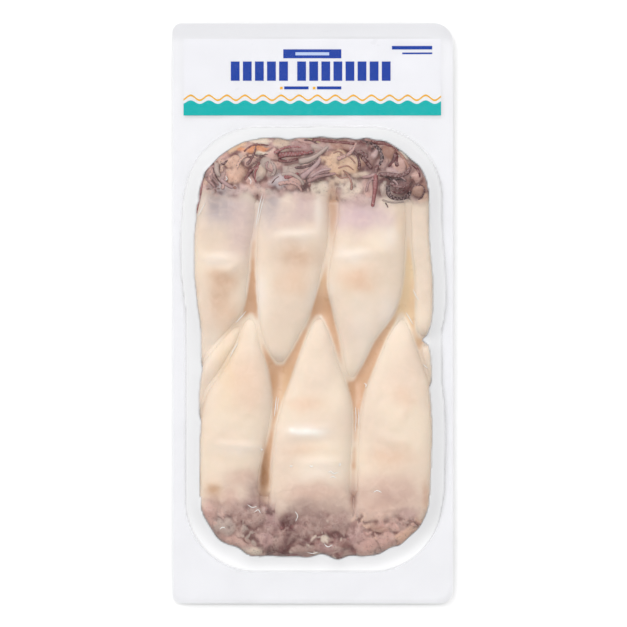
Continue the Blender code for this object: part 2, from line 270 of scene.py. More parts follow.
def crease_material():
    """Film gathered into a fold: half clear and very glossy, its whitish colour partly the gathered film and partly
    painted highlight.
    """
    paint = Paint("film_crease", Specular_IOR_Level=0.8)
    # whitish colour: partly painted highlight, so the folds show as bright lines
    paint.colour(paint.mix(paint.noise(2 * MM), rgb(240, 236, 230), rgb(255, 255, 255)))
    paint.roughness(paint.ramp(paint.noise(3 * MM), -2.0, 4.0))
    clear = paint.node("ShaderNodeBsdfTransparent")
    mixed = paint.node("ShaderNodeMixShader")
    mixed.inputs[0].default_value = 0.85
    paint.plug(mixed.inputs[1], clear.outputs[0])
    paint.plug(mixed.inputs[2], paint.shader.outputs[0])
    paint.plug(paint.output.inputs["Surface"], mixed.outputs[0])
    return paint.material


# ---------------------------------------------------------------- meshes


def grid_faces(rows, columns, around=False):
    """Quads of a grid of vertices laid out row by row; around closes each row into a ring."""
    row = np.arange(rows - 1)[:, None]
    column = np.arange(columns if around else columns - 1)[None, :]
    following = (column + 1) % columns
    corners = (row * columns + column, row * columns + following, (row + 1) * columns + following, (row + 1) * columns + column)
    return np.stack([np.broadcast_to(corner, corners[0].shape) for corner in corners], axis=-1).reshape(-1, 4)


class Build:
    """Vertices, faces and per-vertex values gathered for one piece."""

    def __init__(self):
        self.points = []
        self.faces = []
        self.values = {}
        self.count = 0

    def add(self, points, faces, **values):
        points = np.asarray(points, dtype=float).reshape(-1, 3)
        self.points.append(points)
        self.faces.extend((np.asarray(face) + self.count).tolist() for face in faces)
        for name, value in values.items():
            self.values.setdefault(name, []).append(value)
        self.count += len(points)

    def tube(self, rings, **values):
        """A closed tube through rings (rows, around, 3), with a cap at each end."""
        rows, around = rings.shape[:2]
        caps = [list(range(around))[::-1], [(rows - 1) * around + i for i in range(around)]]
        self.add(rings, [*grid_faces(rows, around, around=True), *caps], **values)

    def piece(self, name, material, slot, replaces=()):
        mesh = bpy.data.meshes.new(name)
        mesh.from_pydata(np.concatenate(self.points).tolist(), [], self.faces)
        for key, parts in self.values.items():
            joined = np.concatenate(parts)
            kind = "FLOAT_COLOR" if joined.ndim == 2 else "FLOAT"
            layer = mesh.attributes.new(key, kind, "POINT")
            layer.data.foreach_set("color" if joined.ndim == 2 else "value", joined.ravel())
        mesh.update()
        mesh.shade_smooth()
        mesh.materials.append(material)
        made = bpy.data.objects.new(name, mesh)
        bpy.context.scene.collection.objects.link(made)
        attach(made, "root")
        if replaces:
            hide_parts(*replaces)
        return made


def smooth_step(value, low, high):
    share = np.clip((value - low) / (high - low), 0, 1)
    return share * share * (3 - 2 * share)


def smooth_row(values, spacing, reach):
    """Values along a line, smoothed by a bell curve of that reach."""
    half = max(1, int(3 * reach / spacing))
    bell = np.exp(-0.5 * (np.arange(-half, half + 1) * spacing / reach) ** 2)
    return np.convolve(np.pad(values, half, mode="edge"), bell / bell.sum(), mode="valid")


def ripple(x, y, size, seed):
    """Smooth noise, about -1 to 1, at each point of two arrays of the same shape."""
    flat = [noise.noise(Vector((a / size, b / size, seed))) for a, b in zip(np.ravel(x), np.ravel(y))]
    return np.reshape(flat, np.shape(x)) * 1.6


def spline(points, count):
    """A smooth curve (Catmull-Rom) through points, sampled evenly in count places."""
    points = np.asarray(points, dtype=float)
    ends = [2 * points[0] - points[1], *points, 2 * points[-1] - points[-2]]
    samples = []
    for k in range(count):
        at = k / (count - 1) * (len(points) - 1)
        i = min(int(at), len(points) - 2)
        t = at - i
        a, b, c, d = ends[i], ends[i + 1], ends[i + 2], ends[i + 3]
        samples.append(0.5 * (2 * b + (c - a) * t + (2 * a - 5 * b + 4 * c - d) * t**2 + (3 * b - a - 3 * c + d) * t**3))
    return np.array(samples)


# ---------------------------------------------------------------- tray


def round_outline(left, right, foot, head, corners, side_steps=28, arc_steps=12):
    """Points round a rectangle with round corners, anticlockwise from its head right corner."""
    places = ((right, head, -1, -1), (left, head, 1, -1), (left, foot, 1, 1), (right, foot, -1, 1))
    arcs = []
    for quarter, ((x, y, inward_x, inward_y), radius) in enumerate(zip(places, corners)):
        angles = (quarter + np.arange(arc_steps + 1) / arc_steps) * pi / 2
        arcs.append(np.stack((x + inward_x * radius + radius * np.cos(angles), y + inward_y * radius + radius * np.sin(angles)), 1))
    points = []
    for arc, following in zip(arcs, arcs[1:] + arcs[:1]):
        points.append(arc)
        steps = np.arange(1, side_steps)[:, None] / side_steps
        points.append(arc[-1] + (following[0] - arc[-1]) * steps)
    return np.concatenate(points)


def box_outline(box, inset):
    corners = [max(0.5 * MM, box["corner"] - inset)] * 4
    return round_outline(box["left"] + inset, box["right"] - inset, box["foot"] + inset, box["head"] - inset, corners)


def pack_outline(inset):
    corners = [max(0.5 * MM, radius - inset) for radius in PACK_CORNERS]
    outline = round_outline(PACK_LOW[0] + inset, PACK_HIGH[0] - inset, PACK_LOW[1] + inset, PACK_HIGH[1] - inset, corners)
    return outline * (1, 1)


def make_tray():
    """The formed sheet: flange, rounded edge of the well, sloping wall and floor, with its thickness."""
    outer = pack_outline(0)
    well = box_outline(WELL, 0)
    floor = box_outline(FLOOR, 0)
    rings = []

    def ring(outline, z):
        rings.append(np.column_stack((outline, np.full(len(outline), z))))

    ring(outer, FLANGE_TOP - 0.45 * MM)
    ring(outer, FLANGE_TOP - 0.2 * MM)
    ring(pack_outline(0.25 * MM), FLANGE_TOP)
    for share in (0.15, 0.4, 0.65, 0.85):
        ring(pack_outline(0.25 * MM) * (1 - share) + box_outline(WELL, -1.2 * MM) * share, FLANGE_TOP)
    ring(box_outline(WELL, -1.2 * MM), FLANGE_TOP)
    for step in range(1, 4):
        bend = step / 4 * pi / 2
        share = 0.25 * (1 - cos(bend))
        ring(well * (1 - share) + floor * share + (box_outline(WELL, -1.2 * MM) - well) * (1 - sin(bend)), FLANGE_TOP - share * 2.5 * MM)
    depth = FLANGE_TOP - SHEET
    for share in (0.35, 0.6, 0.82):
        ring(well * (1 - share) + floor * share, FLANGE_TOP - share * depth)
    ring(box_outline(FLOOR, 0.2 * MM), SHEET + 0.25 * MM)
    ring(box_outline(FLOOR, 1.2 * MM), SHEET)
    ring(box_outline(FLOOR, 8 * MM), SHEET)
    rings = np.array(rings)

    def warp(points):
        """The sheet's slight waves: none on the floor, more along the free edges."""
        height = smooth_step(points[..., 2], 2 * MM, FLANGE_TOP)
        points[..., 2] += 0.25 * MM * height * ripple(points[..., 0], points[..., 1], 45 * MM, 3.0) - 0.1 * MM * height
        return points

    rows, around = rings.shape[:2]
    under = rings[1:] - (0, 0, SHEET)
    under[0] = rings[0]
    under[0][:, 2] = FLANGE_TOP - SHEET
    upper = warp(rings)
    lower = warp(under)
    build = Build()
    whole = np.concatenate((lower[::-1], upper))
    rows = len(whole)
    build.add(whole, [*grid_faces(rows, around, around=True), list(range(around))[::-1], [(rows - 1) * around + i for i in range(around)]])
    return build.piece("tray_shell", tray_material(), "tray", ["tray"])


# ---------------------------------------------------------------- label and its print

WAVE = 9.65 * MM


def label_lift(x, y):
    """Height of the label's face: flat, with a few soft dents where the film drew it in."""
    lift = 0.12 * MM * ripple(x, y, 14 * MM, 11.0)
    fade = smooth_step(np.minimum(x - LABEL_LOW[0], LABEL_HIGH[0] - x), 0, 8 * MM)
    return FLANGE_TOP + 0.25 * MM + lift * fade


def lay_on_label(build, x, y, above, faces):
    build.add(np.stack((x, y, label_lift(x, y) + above), -1), faces)


def make_label():
    columns, rows = 140, 44
    x, y = np.meshgrid(np.linspace(LABEL_LOW[0], LABEL_HIGH[0], columns), np.linspace(LABEL_LOW[1], LABEL_HIGH[1], rows))
    build = Build()
    lay_on_label(build, x, y, 0, grid_faces(rows, columns))
    return build.piece("label_sheet", label_material(), "label", ["label"])


def bar(build, left, right, foot, head, steps=6):
    """A printed bar."""
    columns = max(2, int((right - left) / (2 * MM)) + 2)
    x, y = np.meshgrid(np.linspace(left, right, columns), np.linspace(foot, head, steps))
    lay_on_label(build, x, y, 0.05 * MM, grid_faces(steps, columns))


def wave_band(build, centre, thickness, amplitude, foot=None):
    """A printed wavy line, or with foot a band with a wavy upper edge and a straight lower one."""
    columns, rows = 420, 4
    xs = np.linspace(LABEL_LOW[0], LABEL_HIGH[0], columns)
    upper = centre + amplitude * np.sin(2 * pi * xs / WAVE) + thickness / 2
    lower = upper - thickness if foot is None else np.full(columns, foot)
    share = np.linspace(0, 1, rows)[:, None]
    lay_on_label(build, np.broadcast_to(xs, (rows, columns)), lower + (upper - lower) * share, 0.05 * MM, grid_faces(rows, columns))


def make_print():
    """Plain marks where the words were: bars of the same colour and scale, and the two waves."""
    foot = LABEL_LOW[1]
    middle = (LABEL_LOW[0] + LABEL_HIGH[0]) / 2
    blue = Build()
    bar(blue, middle - 15.5 * MM, middle + 15.5 * MM, foot + 30.6 * MM, foot + 35.4 * MM)
    block, pitch = 4.7 * MM, 6.45 * MM
    left = middle - 43.5 * MM
    for number in range(13):
        bar(blue, left, left + block, foot + 18.6 * MM, foot + 28.9 * MM)
        left += pitch + (3.2 * MM if number == 4 else 0)
    for start in (-15, 2.5):
        bar(blue, middle + start * MM, middle + (start + 13) * MM, foot + 14 * MM, foot + 15.6 * MM, 3)
    bar(blue, middle + 42.5 * MM, middle + 64 * MM, foot + 35.3 * MM, foot + 37.2 * MM, 3)
    bar(blue, middle + 48 * MM, middle + 64 * MM, foot + 32.8 * MM, foot + 33.7 * MM, 3)
    blue.piece("print_blue", ink_material("ink_blue", rgb(24, 72, 174)), "label")

    yellow = Build()
    wave_band(yellow, foot + 9.5 * MM, 0.95 * MM, 1.3 * MM)
    for start in (-17.2, 0.3):
        bar(yellow, middle + start * MM, middle + (start + 1.4) * MM, foot + 14 * MM, foot + 15.4 * MM, 3)
    yellow.piece("print_yellow", ink_material("ink_yellow", rgb(240, 188, 45)), "label")

    teal = Build()
    wave_band(teal, foot + 7.2 * MM, 0, 0.95 * MM, foot=foot + 0.1 * MM)
    teal.piece("print_teal", ink_material("ink_teal", rgb(0, 190, 188)), "label")

    pale = Build()
    bar(pale, middle - 9 * MM, middle + 9 * MM, foot + 32.2 * MM, foot + 33.8 * MM, 3)
    for point in pale.points:
        point[:, 2] += 0.04 * MM
    pale.piece("print_pale", ink_material("ink_pale", rgb(200, 215, 240)), "label")


# ---------------------------------------------------------------- mantles


TINTS = {
    "plum": rgb(130, 86, 84),
    "dark": rgb(94, 52, 52),
    "black": rgb(64, 32, 34),
    "maroon": rgb(122, 66, 62),
    "crimson": rgb(156, 90, 90),
    "mauve": rgb(178, 141, 138),
    "lilac": rgb(194, 163, 162),
    "grey": rgb(184, 165, 156),
    "pink": rgb(206, 168, 158),
    "flesh": rgb(216, 180, 160),
    "beige": rgb(208, 186, 168),
    "peach": rgb(228, 190, 167),
    "tan": rgb(224, 190, 158),
    "orange": rgb(216, 146, 98),
    "amber": rgb(194, 148, 104),
    "umber": rgb(150, 96, 38),
    "brown": rgb(168, 124, 108),
    "cream": rgb(228, 214, 198),
    "olive": rgb(202, 184, 138),
    "rim": rgb(226, 194, 164),
    "white": rgb(242, 232, 222),
    "buff": rgb(214, 182, 154),
    "warm": rgb(232, 202, 176),
    "rose": rgb(216, 194, 190),
    "violet": rgb(221, 197, 201),
    "haze": rgb(196, 182, 183),
    "ash": rgb(176, 162, 164),
    "clay": rgb(206, 164, 130),
    "straw": rgb(236, 213, 178),
    "juice": rgb(216, 177, 142),
    "dusk": rgb(176, 143, 135),
    "blush": rgb(216, 186, 171),
    "wine": rgb(100, 40, 42),
    # painted highlight colour
    "painted_highlight": rgb(255, 252, 246),
}


@dataclass
class Patch:
    """A soft patch of colour on the flesh, a few of them painted highlight or shade: colour, strength, centre and half
    sizes in mm, in the pack's frame.
    """

    tint: str
    strength: float
    x: float
    y: float
    wide: float
    deep: float


# The "white" patches are partly paler flesh and partly painted sheen on the wet mantles, most of them on the ridges of
# the folds.
WALL_PATCHES = [
    # head row, first to fourth
    Patch("haze", 0.9, -46, 55, 14, 10),
    Patch("ash", 0.7, -52, 59, 4.5, 5),
    Patch("rose", 0.7, -38, 40, 7, 10),
    Patch("rose", 0.6, -37, 53, 7, 8),
    Patch("white", 0.7, -50, 28, 9, 4),
    Patch("buff", 0.9, -47, 17, 8, 6),
    Patch("buff", 0.7, -49, 9, 6, 7),
    Patch("warm", 0.6, -45, -2, 9, 9),
    Patch("haze", 0.7, -23, 55, 6, 12),
    Patch("ash", 0.6, -22, 60, 4, 5),
    Patch("rose", 0.5, -14, 51, 7, 9),
    Patch("rose", 0.9, -4, 56, 8, 9),
    Patch("mauve", 0.5, -3, 61, 4, 2.5),
    Patch("white", 0.8, 3, 53, 2.5, 9),
    Patch("white", 0.7, -8, 41, 12, 4),
    Patch("buff", 0.75, -7, 30, 8, 7),
    Patch("warm", 0.6, -10, 18, 10, 8),
    Patch("white", 0.6, 20, 62, 6, 5),
    Patch("rose", 0.9, 26, 51, 14, 9),
    Patch("violet", 0.75, 26, 52, 14, 7),
    Patch("lilac", 0.6, 23, 58.5, 10, 4),
    Patch("straw", 0.4, 46, 46, 3, 10),
    Patch("white", 0.8, 21, 31, 9, 4),
    Patch("white", 0.7, 41, 41, 5, 7),
    Patch("warm", 0.9, 24, 17, 9, 6),
    Patch("cream", 0.8, 56, 35, 6, 25),
    # painted shade in the gap beside the fourth head mantle
    Patch("olive", 0.35, 51, 18, 3, 12),
    Patch("clay", 0.75, 10.6, 56, 2.4, 16),
    Patch("white", 0.5, 27, -10, 8, 18),
    # foot row, left to right
    Patch("white", 0.9, -29, 10, 6, 12),
    Patch("white", 0.5, -54, -24, 5, 16),
    Patch("straw", 0.5, -45, -30, 8, 18),
    Patch("warm", 0.5, -34, -37, 9, 14),
    Patch("white", 0.6, -38, -71, 11, 4),
    Patch("blush", 0.7, -36, -87, 10, 5),
    Patch("white", 0.8, 4, 9, 6, 9),
    Patch("warm", 0.6, -4, -48, 10, 4),
    Patch("white", 0.8, -3, -62, 12, 5),
    # painted highlight: a bright band across the fold on the foot-middle mantle, and a small glint beside it
    Patch("painted_highlight", 0.95, -3, -62.4, 8.4, 1.9),
    Patch("painted_highlight", 0.7, -11, -61.6, 1.6, 1.2),
    Patch("warm", 0.4, -5, -72, 10, 3.5),
    Patch("white", 0.6, 5, -83, 12, 7),
    Patch("white", 0.8, 40, 0, 6, 10),
    Patch("warm", 0.5, 47, -44, 7, 7),
    Patch("warm", 0.6, 40, -76, 12, 6),
    Patch("blush", 0.6, 36, -88, 12, 5),
    # the flesh beyond the foot row's mouths
    Patch("dusk", 0.9, -30, -101, 9, 6),
    Patch("blush", 0.9, -44, -99, 5, 9),
    Patch("amber", 0.7, -52.5, -93.5, 4, 4),
    Patch("brown", 0.7, -51.8, -100.7, 4, 3.6),
    Patch("pink", 0.8, -54.6, -107.3, 4.5, 8),
    Patch("dusk", 0.9, -31, -109, 11, 8),
    Patch("grey", 0.8, -46, -113, 5, 6),
    Patch("dusk", 0.5, 0, -100, 19, 5),
    Patch("dusk", 0.9, 2, -109, 20, 9),
    # painted shade: a darker mauve strip in the gap between the middle and right flesh
    Patch("dusk", 0.8, 21.5, -97, 2.6, 7),
    Patch("blush", 0.9, 36, -103, 15, 8),
    Patch("mauve", 0.7, 51, -106, 6, 4),
    Patch("brown", 0.6, 36, -113, 8, 2.6),
    Patch("pink", 0.8, 30, -120, 12, 6),
    Patch("clay", 0.6, 59.5, -97, 2, 8),
    Patch("tan", 0.7, 50, -119, 7, 5),
    Patch("dusk", 0.7, -31, -94, 5, 6),
    Patch("blush", 0.8, 1, -94, 19, 5),
    Patch("blush", 0.8, 42, -96, 18, 8),
    Patch("dusk", 0.3, 42, -97, 16, 6),
    Patch("wine", 0.9, -12, -112, 3.6, 8),
    Patch("wine", 0.9, -16, -124.5, 4.5, 4.5),
    Patch("dusk", 0.6, 8, -122, 14, 5),
    Patch("amber", 1.0, -24.6, -83, 2.2, 13),
    Patch("umber", 1.0, -26, -89, 2.6, 8),
]

JUICE_PATCHES = [
    Patch("straw", 1.0, 49, 12, 8, 46),
    Patch("straw", 0.7, 3, 35, 5, 22),
    Patch("straw", 0.5, -14, -45, 5, 16),
    Patch("umber", 0.9, -26, -88, 5, 14),
    Patch("clay", 0.6, -31, 15, 5, 24),
]


def patched(colour, patches, x, y):
    """Colours at points with the patches laid over them in turn."""
    bend_x, bend_y = 2.2 * ripple(x, y, 9 * MM, 11.0), 2.2 * ripple(x, y, 9 * MM, 17.0)
    for patch in patches:
        freely = min(1, min(patch.wide, patch.deep) / 8)
        u = (x / MM + bend_x * freely - patch.x) / patch.wide
        v = (y / MM + bend_y * freely - patch.y) / patch.deep
        weight = patch.strength * np.exp(-((u**2 + v**2) ** 1.2))[..., None]
        colour = colour + (np.array(TINTS[patch.tint]) - colour) * weight
    return colour


def wall_colour(x, y):
    """Colour of the flesh's smooth surface at points: cream, with the patches over it."""
    blend = np.clip(0.5 + 0.7 * ripple(x, y, 22 * MM, 5.0), 0, 1)[..., None]
    cream = np.array(rgb(232, 215, 198)) * blend + np.array(rgb(238, 224, 206)) * (1 - blend)
    return patched(cream, WALL_PATCHES, x, y)


class Sack:
    """A node's outline and height along X (axis 0) or Y (axis 1), read from its mesh and smoothed."""

    def __init__(self, node, axis=1, backwards=False, samples=161):
        self.node = node
        self.axis = axis
        points = np.array([vert.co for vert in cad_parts[node].data.vertices])
        keys = np.round(points[:, axis] / (0.3 * MM))
        sections = [points[keys == key] for key in np.unique(keys)]
        places = np.array([section[:, axis].mean() for section in sections])
        self.along = np.linspace(places[0], places[-1], samples)
        spacing = self.along[1] - self.along[0]
        reach = min(3 * MM, (places[-1] - places[0]) / 12)
        first = places[0] + (HELD if node in FOOT_ROW else 0)
        last = places[-1] - (HELD if node in HEAD_ROW else 0)

        def row(pick):
            values = np.interp(np.clip(self.along, first, last), places, [pick(section) for section in sections])
            return smooth_row(values, spacing, reach)

        self.low = row(lambda section: section[:, 1 - axis].min())
        self.high = row(lambda section: section[:, 1 - axis].max())
        self.top = row(lambda section: section[:, 2].max())
        if backwards:
            self.along, self.low, self.high, self.top = (
                values[::-1] for values in (self.along, self.low, self.high, self.top)
            )
        self.t = np.linspace(0, 1, samples)

    def at(self, t):
        """Place along, low side, high side and top at t, from 0 at one end to 1 at the other."""
        return (np.interp(t, self.t, row) for row in (self.along, self.low, self.high, self.top))


SACK_FLOOR = 1.2 * MM
BOXY = 3.0  # how square a mantle's section is: 2 is an ellipse
HELD = 8 * MM  # a mantle keeps the same section this far from its mouth
COLLAR = 7 * MM  # how far a mantle runs on under the arms past its mouth
WIDER = 1.2 * MM  # how much further a soft mantle spreads to each side than its plain solid


def section_angles(around):
    """Across and up, -1 to 1, round a squared-off section."""
    angle = (np.arange(around) + 0.5) / around * 2 * pi
    across = np.sign(np.cos(angle)) * np.abs(np.cos(angle)) ** (2 / BOXY)
    upward = np.sign(np.sin(angle)) * np.abs(np.sin(angle)) ** (2 / BOXY)
    return across, upward


def widened(left, right, share):
    """Sides of a soft mantle, spread a little towards its neighbours but not over the pile's outer edge."""
    left_room = smooth_step(left, -62 * MM, -57 * MM)
    right_room = smooth_step(-right, -64 * MM, -59 * MM)
    return left - WIDER * share * left_room, right + WIDER * share * right_room


def rounded_end(distance, reach):
    """Fullness of a section that far from an end: 0 at the end, 1 from reach on."""
    return np.sqrt(np.clip(1 - (1 - np.clip(distance / reach, 0, 1)) ** 2, 0.02, 1))


@dataclass
class Fold:
    """A soft rise in a mantle's wall: centre, half length and half width in mm, height in mm, turn in degrees."""

    x: float
    y: float
    long: float
    wide: float
    height: float
    turn: float = 0.0


FOLDS = [
    Fold(-50, 29, 12, 2.2, 0.5, -4),
    Fold(-41, 25, 8, 2.5, 0.5, 25),
    Fold(-8, 41, 13, 2.5, 0.45, 3),
    Fold(22, 31, 12, 2.4, 0.5, 8),
    Fold(33, 35, 8, 2.5, 0.5, -35),
    Fold(-38, -70, 13, 2.2, 0.5, -5),
    Fold(-3, -61.5, 12, 2.4, 0.4, 3),
    Fold(-2, -68, 14, 2.4, -0.3, 4),
    Fold(6, -79, 12, 2.5, 0.4, 0),
    Fold(40, -66, 10, 3.0, 0.4, -20),
    Fold(46, -55, 8, 3.0, 0.4, 60),
    Fold(40, -100, 10, 3.0, 0.6, 0),
]


def fold_height(x, y):
    total = np.zeros(np.shape(x))
    for fold in FOLDS:
        turned = np.radians(fold.turn)
        dx, dy = x / MM - fold.x, y / MM - fold.y
        u = (dx * cos(turned) + dy * sin(turned)) / fold.long
        v = (dy * cos(turned) - dx * sin(turned)) / fold.wide
        total += fold.height * MM * np.exp(-(u**4) - v**2)
    return total


def make_mantle(sack, material, seed, mouth, around, rows):
    """A flattened sack.  One with a mouth runs on past it, sinking, under the flesh that comes out of it."""
    length = abs(sack.along[-1] - sack.along[0])
    t = np.linspace(-COLLAR / length if mouth else 0, 1, rows)
    y, left, right, top = sack.at(t)
    y = y + np.minimum(t, 0) * (sack.along[-1] - sack.along[0])
    from_mouth = t * length
    start = from_mouth + (COLLAR if mouth else 0)
    full = rounded_end(start, 1 * MM if mouth else 3 * MM) * rounded_end(length - from_mouth, 3 * MM)
    across, upward = section_angles(around)
    left, right = widened(left, right, rounded_end(length - from_mouth, 12 * MM))
    half = (right - left) / 2 * full
    x = ((right + left) / 2)[:, None] + half[:, None] * across
    yy = np.broadcast_to(y[:, None], x.shape)
    tall = ((top - SACK_FLOOR) * (0.35 + 0.65 * full))[:, None]
    if mouth:
        past = 2.5 * MM * ripple(x, yy, 8 * MM, 9.0) - from_mouth[:, None]
        tall = tall - 3.5 * MM * smooth_step(past, -3.5 * MM, COLLAR)
    relief = 0.40 * MM * ripple(x, yy, 19 * MM, seed) + 0.10 * MM * ripple(x, yy, 5 * MM, seed + 5)
    relief = relief + fold_height(x, yy)
    z = SACK_FLOOR + tall * (1 + upward) / 2 + relief * np.clip(upward, 0, 1)
    colour = wall_colour(x, yy)
    # the mantle's steep sides are tinted tan: partly the juice's colour, partly painted shade
    edge = 0.35 * smooth_step(np.abs(np.broadcast_to(across, x.shape)), 0.86, 1.0)[..., None]
    colour = colour + (np.array(TINTS["rim"]) - colour) * edge
    tint = np.concatenate((colour, np.ones((*x.shape, 1))), axis=-1).reshape(-1, 4)
    none = np.zeros(x.size)
    build = Build()
    build.tube(np.stack((x, yy, z), -1), tint=tint, torn=none, flank=none)
    return build.piece(sack.node.replace("mantle", "body"), material, "mantle", [sack.node])


def make_mantles(material):
    made = []
    for number, node in enumerate(HEAD_ROW + FOOT_ROW + LOWER):
        at_head = node in HEAD_ROW or node in ("mantle_lower_middle", "mantle_lower_right")
        around, rows = (40, 60) if node in LOWER else (88, 130)
        sack = Sack(node, backwards=at_head)
        made.append(make_mantle(sack, material, 7.3 * number, node not in LOWER, around, rows))
    return made


# ---------------------------------------------------------------- tentacle clusters


def surface_tree(pieces):
    """One search tree over the faces of several pieces."""
    points, faces, count = [], [], 0
    for piece in pieces:
        mesh = piece.data
        points.extend(vert.co.copy() for vert in mesh.vertices)
        faces.extend([index + count for index in face.vertices] for face in mesh.polygons)
        count += len(mesh.vertices)
    return BVHTree.FromPolygons(points, faces)


def tops(tree, x, y):
    """Height of the highest face at each point, found by looking straight down."""
    down = Vector((0, 0, -1))
    hits = (tree.ray_cast(Vector((a, b, 50 * MM)), down)[0] for a, b in zip(np.ravel(x), np.ravel(y)))
    return np.array([hit.z if hit else SHEET for hit in hits]).reshape(np.shape(x))


class Relief:
    """Heights on a regular grid over the pack: the pile of contents so far."""

    STEP = 0.5 * MM

    def __init__(self, low, high):
        self.xs = np.arange(low[0], high[0], self.STEP)
        self.ys = np.arange(low[1], high[1], self.STEP)
        self.x, self.y = np.meshgrid(self.xs, self.ys)
        self.z = np.full(self.x.shape, SHEET)

    def at(self, x, y):
        """Heights at points, between the grid's points by proportion."""
        u = np.clip((np.asarray(x) - self.xs[0]) / self.STEP, 0, len(self.xs) - 1.001)
        v = np.clip((np.asarray(y) - self.ys[0]) / self.STEP, 0, len(self.ys) - 1.001)
        i, j = u.astype(int), v.astype(int)
        near = self.z[j, i] * (1 - (u - i)) + self.z[j, i + 1] * (u - i)
        far = self.z[j + 1, i] * (1 - (u - i)) + self.z[j + 1, i + 1] * (u - i)
        return near * (1 - (v - j)) + far * (v - j)

    def lay_sack(self, sack):
        order = np.argsort(sack.along)
        low, high, top = (np.interp(self.y, sack.along[order], row[order]) for row in (sack.low, sack.high, sack.top))
        low, high = widened(low, high, 1)
        s = np.abs((self.x - (low + high) / 2) / ((high - low) / 2))
        inside = (s < 1) & (self.y > sack.along.min()) & (self.y < sack.along.max())
        rise = np.clip(1 - s**BOXY, 0, 1) ** (1 / BOXY)
        height = SACK_FLOOR + (top - SACK_FLOOR) * (1 + rise) / 2
        self.z = np.where(inside, np.maximum(self.z, height), self.z)

    def lay_heap(self, heap):
        i = slice(*np.searchsorted(self.xs, (heap.x_low, heap.x_high)))
        j = slice(*np.searchsorted(self.ys, (heap.low.min(), heap.high.max())))
        x, y = self.x[j, i], self.y[j, i]
        inside = (y > np.interp(x, heap.along, heap.low)) & (y < np.interp(x, heap.along, heap.high))
        self.z[j, i] = np.where(inside, np.maximum(self.z[j, i], heap.surface(x, y)[0]), self.z[j, i])

    def add_dome(self, x, y, radius, top, drop):
        """Raises the pile to a dome whose rim is drop below its top."""
        i = slice(*np.searchsorted(self.xs, (x - radius, x + radius)))
        j = slice(*np.searchsorted(self.ys, (y - radius, y + radius)))
        distance = ((self.x[j, i] - x) ** 2 + (self.y[j, i] - y) ** 2) / radius**2
        dome = top - drop * (1 - np.sqrt(np.clip(1 - distance, 0, 1)))
        self.z[j, i] = np.where(distance < 1, np.maximum(self.z[j, i], dome), self.z[j, i])


@dataclass
class Arm:
    """A tapering arm: colour, radius at each end in mm, and places in mm from its cluster's low corner."""

    tint: str
    thick: float
    thin: float
    path: tuple
    suckers: bool = False


@dataclass
class Lump:
    """A lump of flesh: colour, centre from the cluster's low corner and half sizes in mm, turn, share of full height."""

    tint: str
    x: float
    y: float
    wide: float
    deep: float
    turn: float = 0.0
    rise: float = 1.0


@dataclass
class Litter:
    """Small torn bits strewn over an area: colours, centre from the cluster's low corner, reach in mm, count."""

    tints: tuple
    x: float
    y: float
    reach: float
    count: int

    def lumps(self, rng):
        made = []
        for _ in range(self.count):
            dx, dy = rng.normal(0, self.reach / 2, 2)
            tint = self.tints[rng.integers(len(self.tints))]
            wide = rng.uniform(0.7, 1.9)
            deep, turn = wide * rng.uniform(0.4, 0.8), rng.uniform(0, 180)
            made.append(Lump(tint, self.x + dx, self.y + dy, wide, deep, turn, rise=2.2))
        return made


HEAD_LEFT = [
    Litter(("dark", "mauve", "ash"), 9, 9, 4, 14),
    Lump("pink", 5.5, 20, 6, 5, 40),
    Lump("mauve", 6.6, 15, 4.5, 4),
    Lump("pink", 10.7, 24.5, 5, 3, 35),
    Lump("cream", 31.4, 33.4, 9, 1.6),
    Lump("tan", 18.6, 29.6, 7, 3, 20),
    Lump("orange", 29.8, 28.6, 7.5, 1.9, 4),
    Lump("cream", 36, 26.6, 5, 1.4),
    Lump("grey", 23.4, 23.8, 2.4, 2.2),
    Lump("flesh", 20.7, 15.7, 5.4, 6.8),
    Lump("flesh", 19.4, 21.6, 4.4, 3),
    Lump("brown", 24.6, 16.2, 2.4, 5),
    Lump("pink", 27.7, 21.6, 3, 2.6),
    Lump("grey", 33.2, 14.8, 2.7, 3.8),
    Lump("pink", 28, 11.4, 3, 3),
    Lump("grey", 37, 20.5, 4, 4.2),
    Lump("rose", 25, 7, 9, 3.6, 0, 0.3),
    Lump("haze", 10, 7, 7, 4, 0, 0.3),
    Arm("crimson", 1.2, 0.4, ((3, 13), (2.2, 7.6), (0.9, 1), (-0.3, -5.7)), True),
    Arm("mauve", 1.3, 0.9, ((2.6, 13.8), (5.5, 17.6), (9.5, 19.4))),
    Arm("grey", 1.6, 1.2, ((10.5, 21.4), (10.2, 17.4), (11.8, 13.4))),
    Arm("dark", 0.5, 0.3, ((8.4, 21), (8.8, 16.5), (10.8, 12.4), (13.4, 9.6))),
    Arm("lilac", 1.2, 0.9, ((12.4, 12.3), (15.6, 9.6), (19.2, 7.6))),
    Arm("mauve", 0.9, 0.7, ((4.6, 13), (7, 10.8), (9.6, 8))),
    Arm("mauve", 0.8, 0.6, ((6.4, 14.4), (9, 12), (11.6, 9))),
    Arm("brown", 0.9, 0.8, ((19.2, 8.2), (20.8, 7.4))),
    Arm("dark", 0.9, 0.5, ((12.4, 20.2), (14.4, 20.8), (16.2, 22.6)), True),
    Arm("maroon", 0.5, 0.3, ((25.9, 25.4), (28.9, 23))),
    Arm("maroon", 1.1, 0.9, ((33, 21.4), (31.2, 18.8), (27.8, 16.4), (25.2, 11.6))),
    Arm("crimson", 0.7, 0.5, ((32.6, 19.4), (30.6, 15.7), (31, 10.7))),
    Arm("maroon", 0.6, 0.4, ((24.6, 27), (28.6, 30), (33.5, 30.8), (38.4, 30.2))),
    Arm("dark", 0.4, 0.3, ((33, 24), (35.5, 25.6), (38, 25.2))),
]

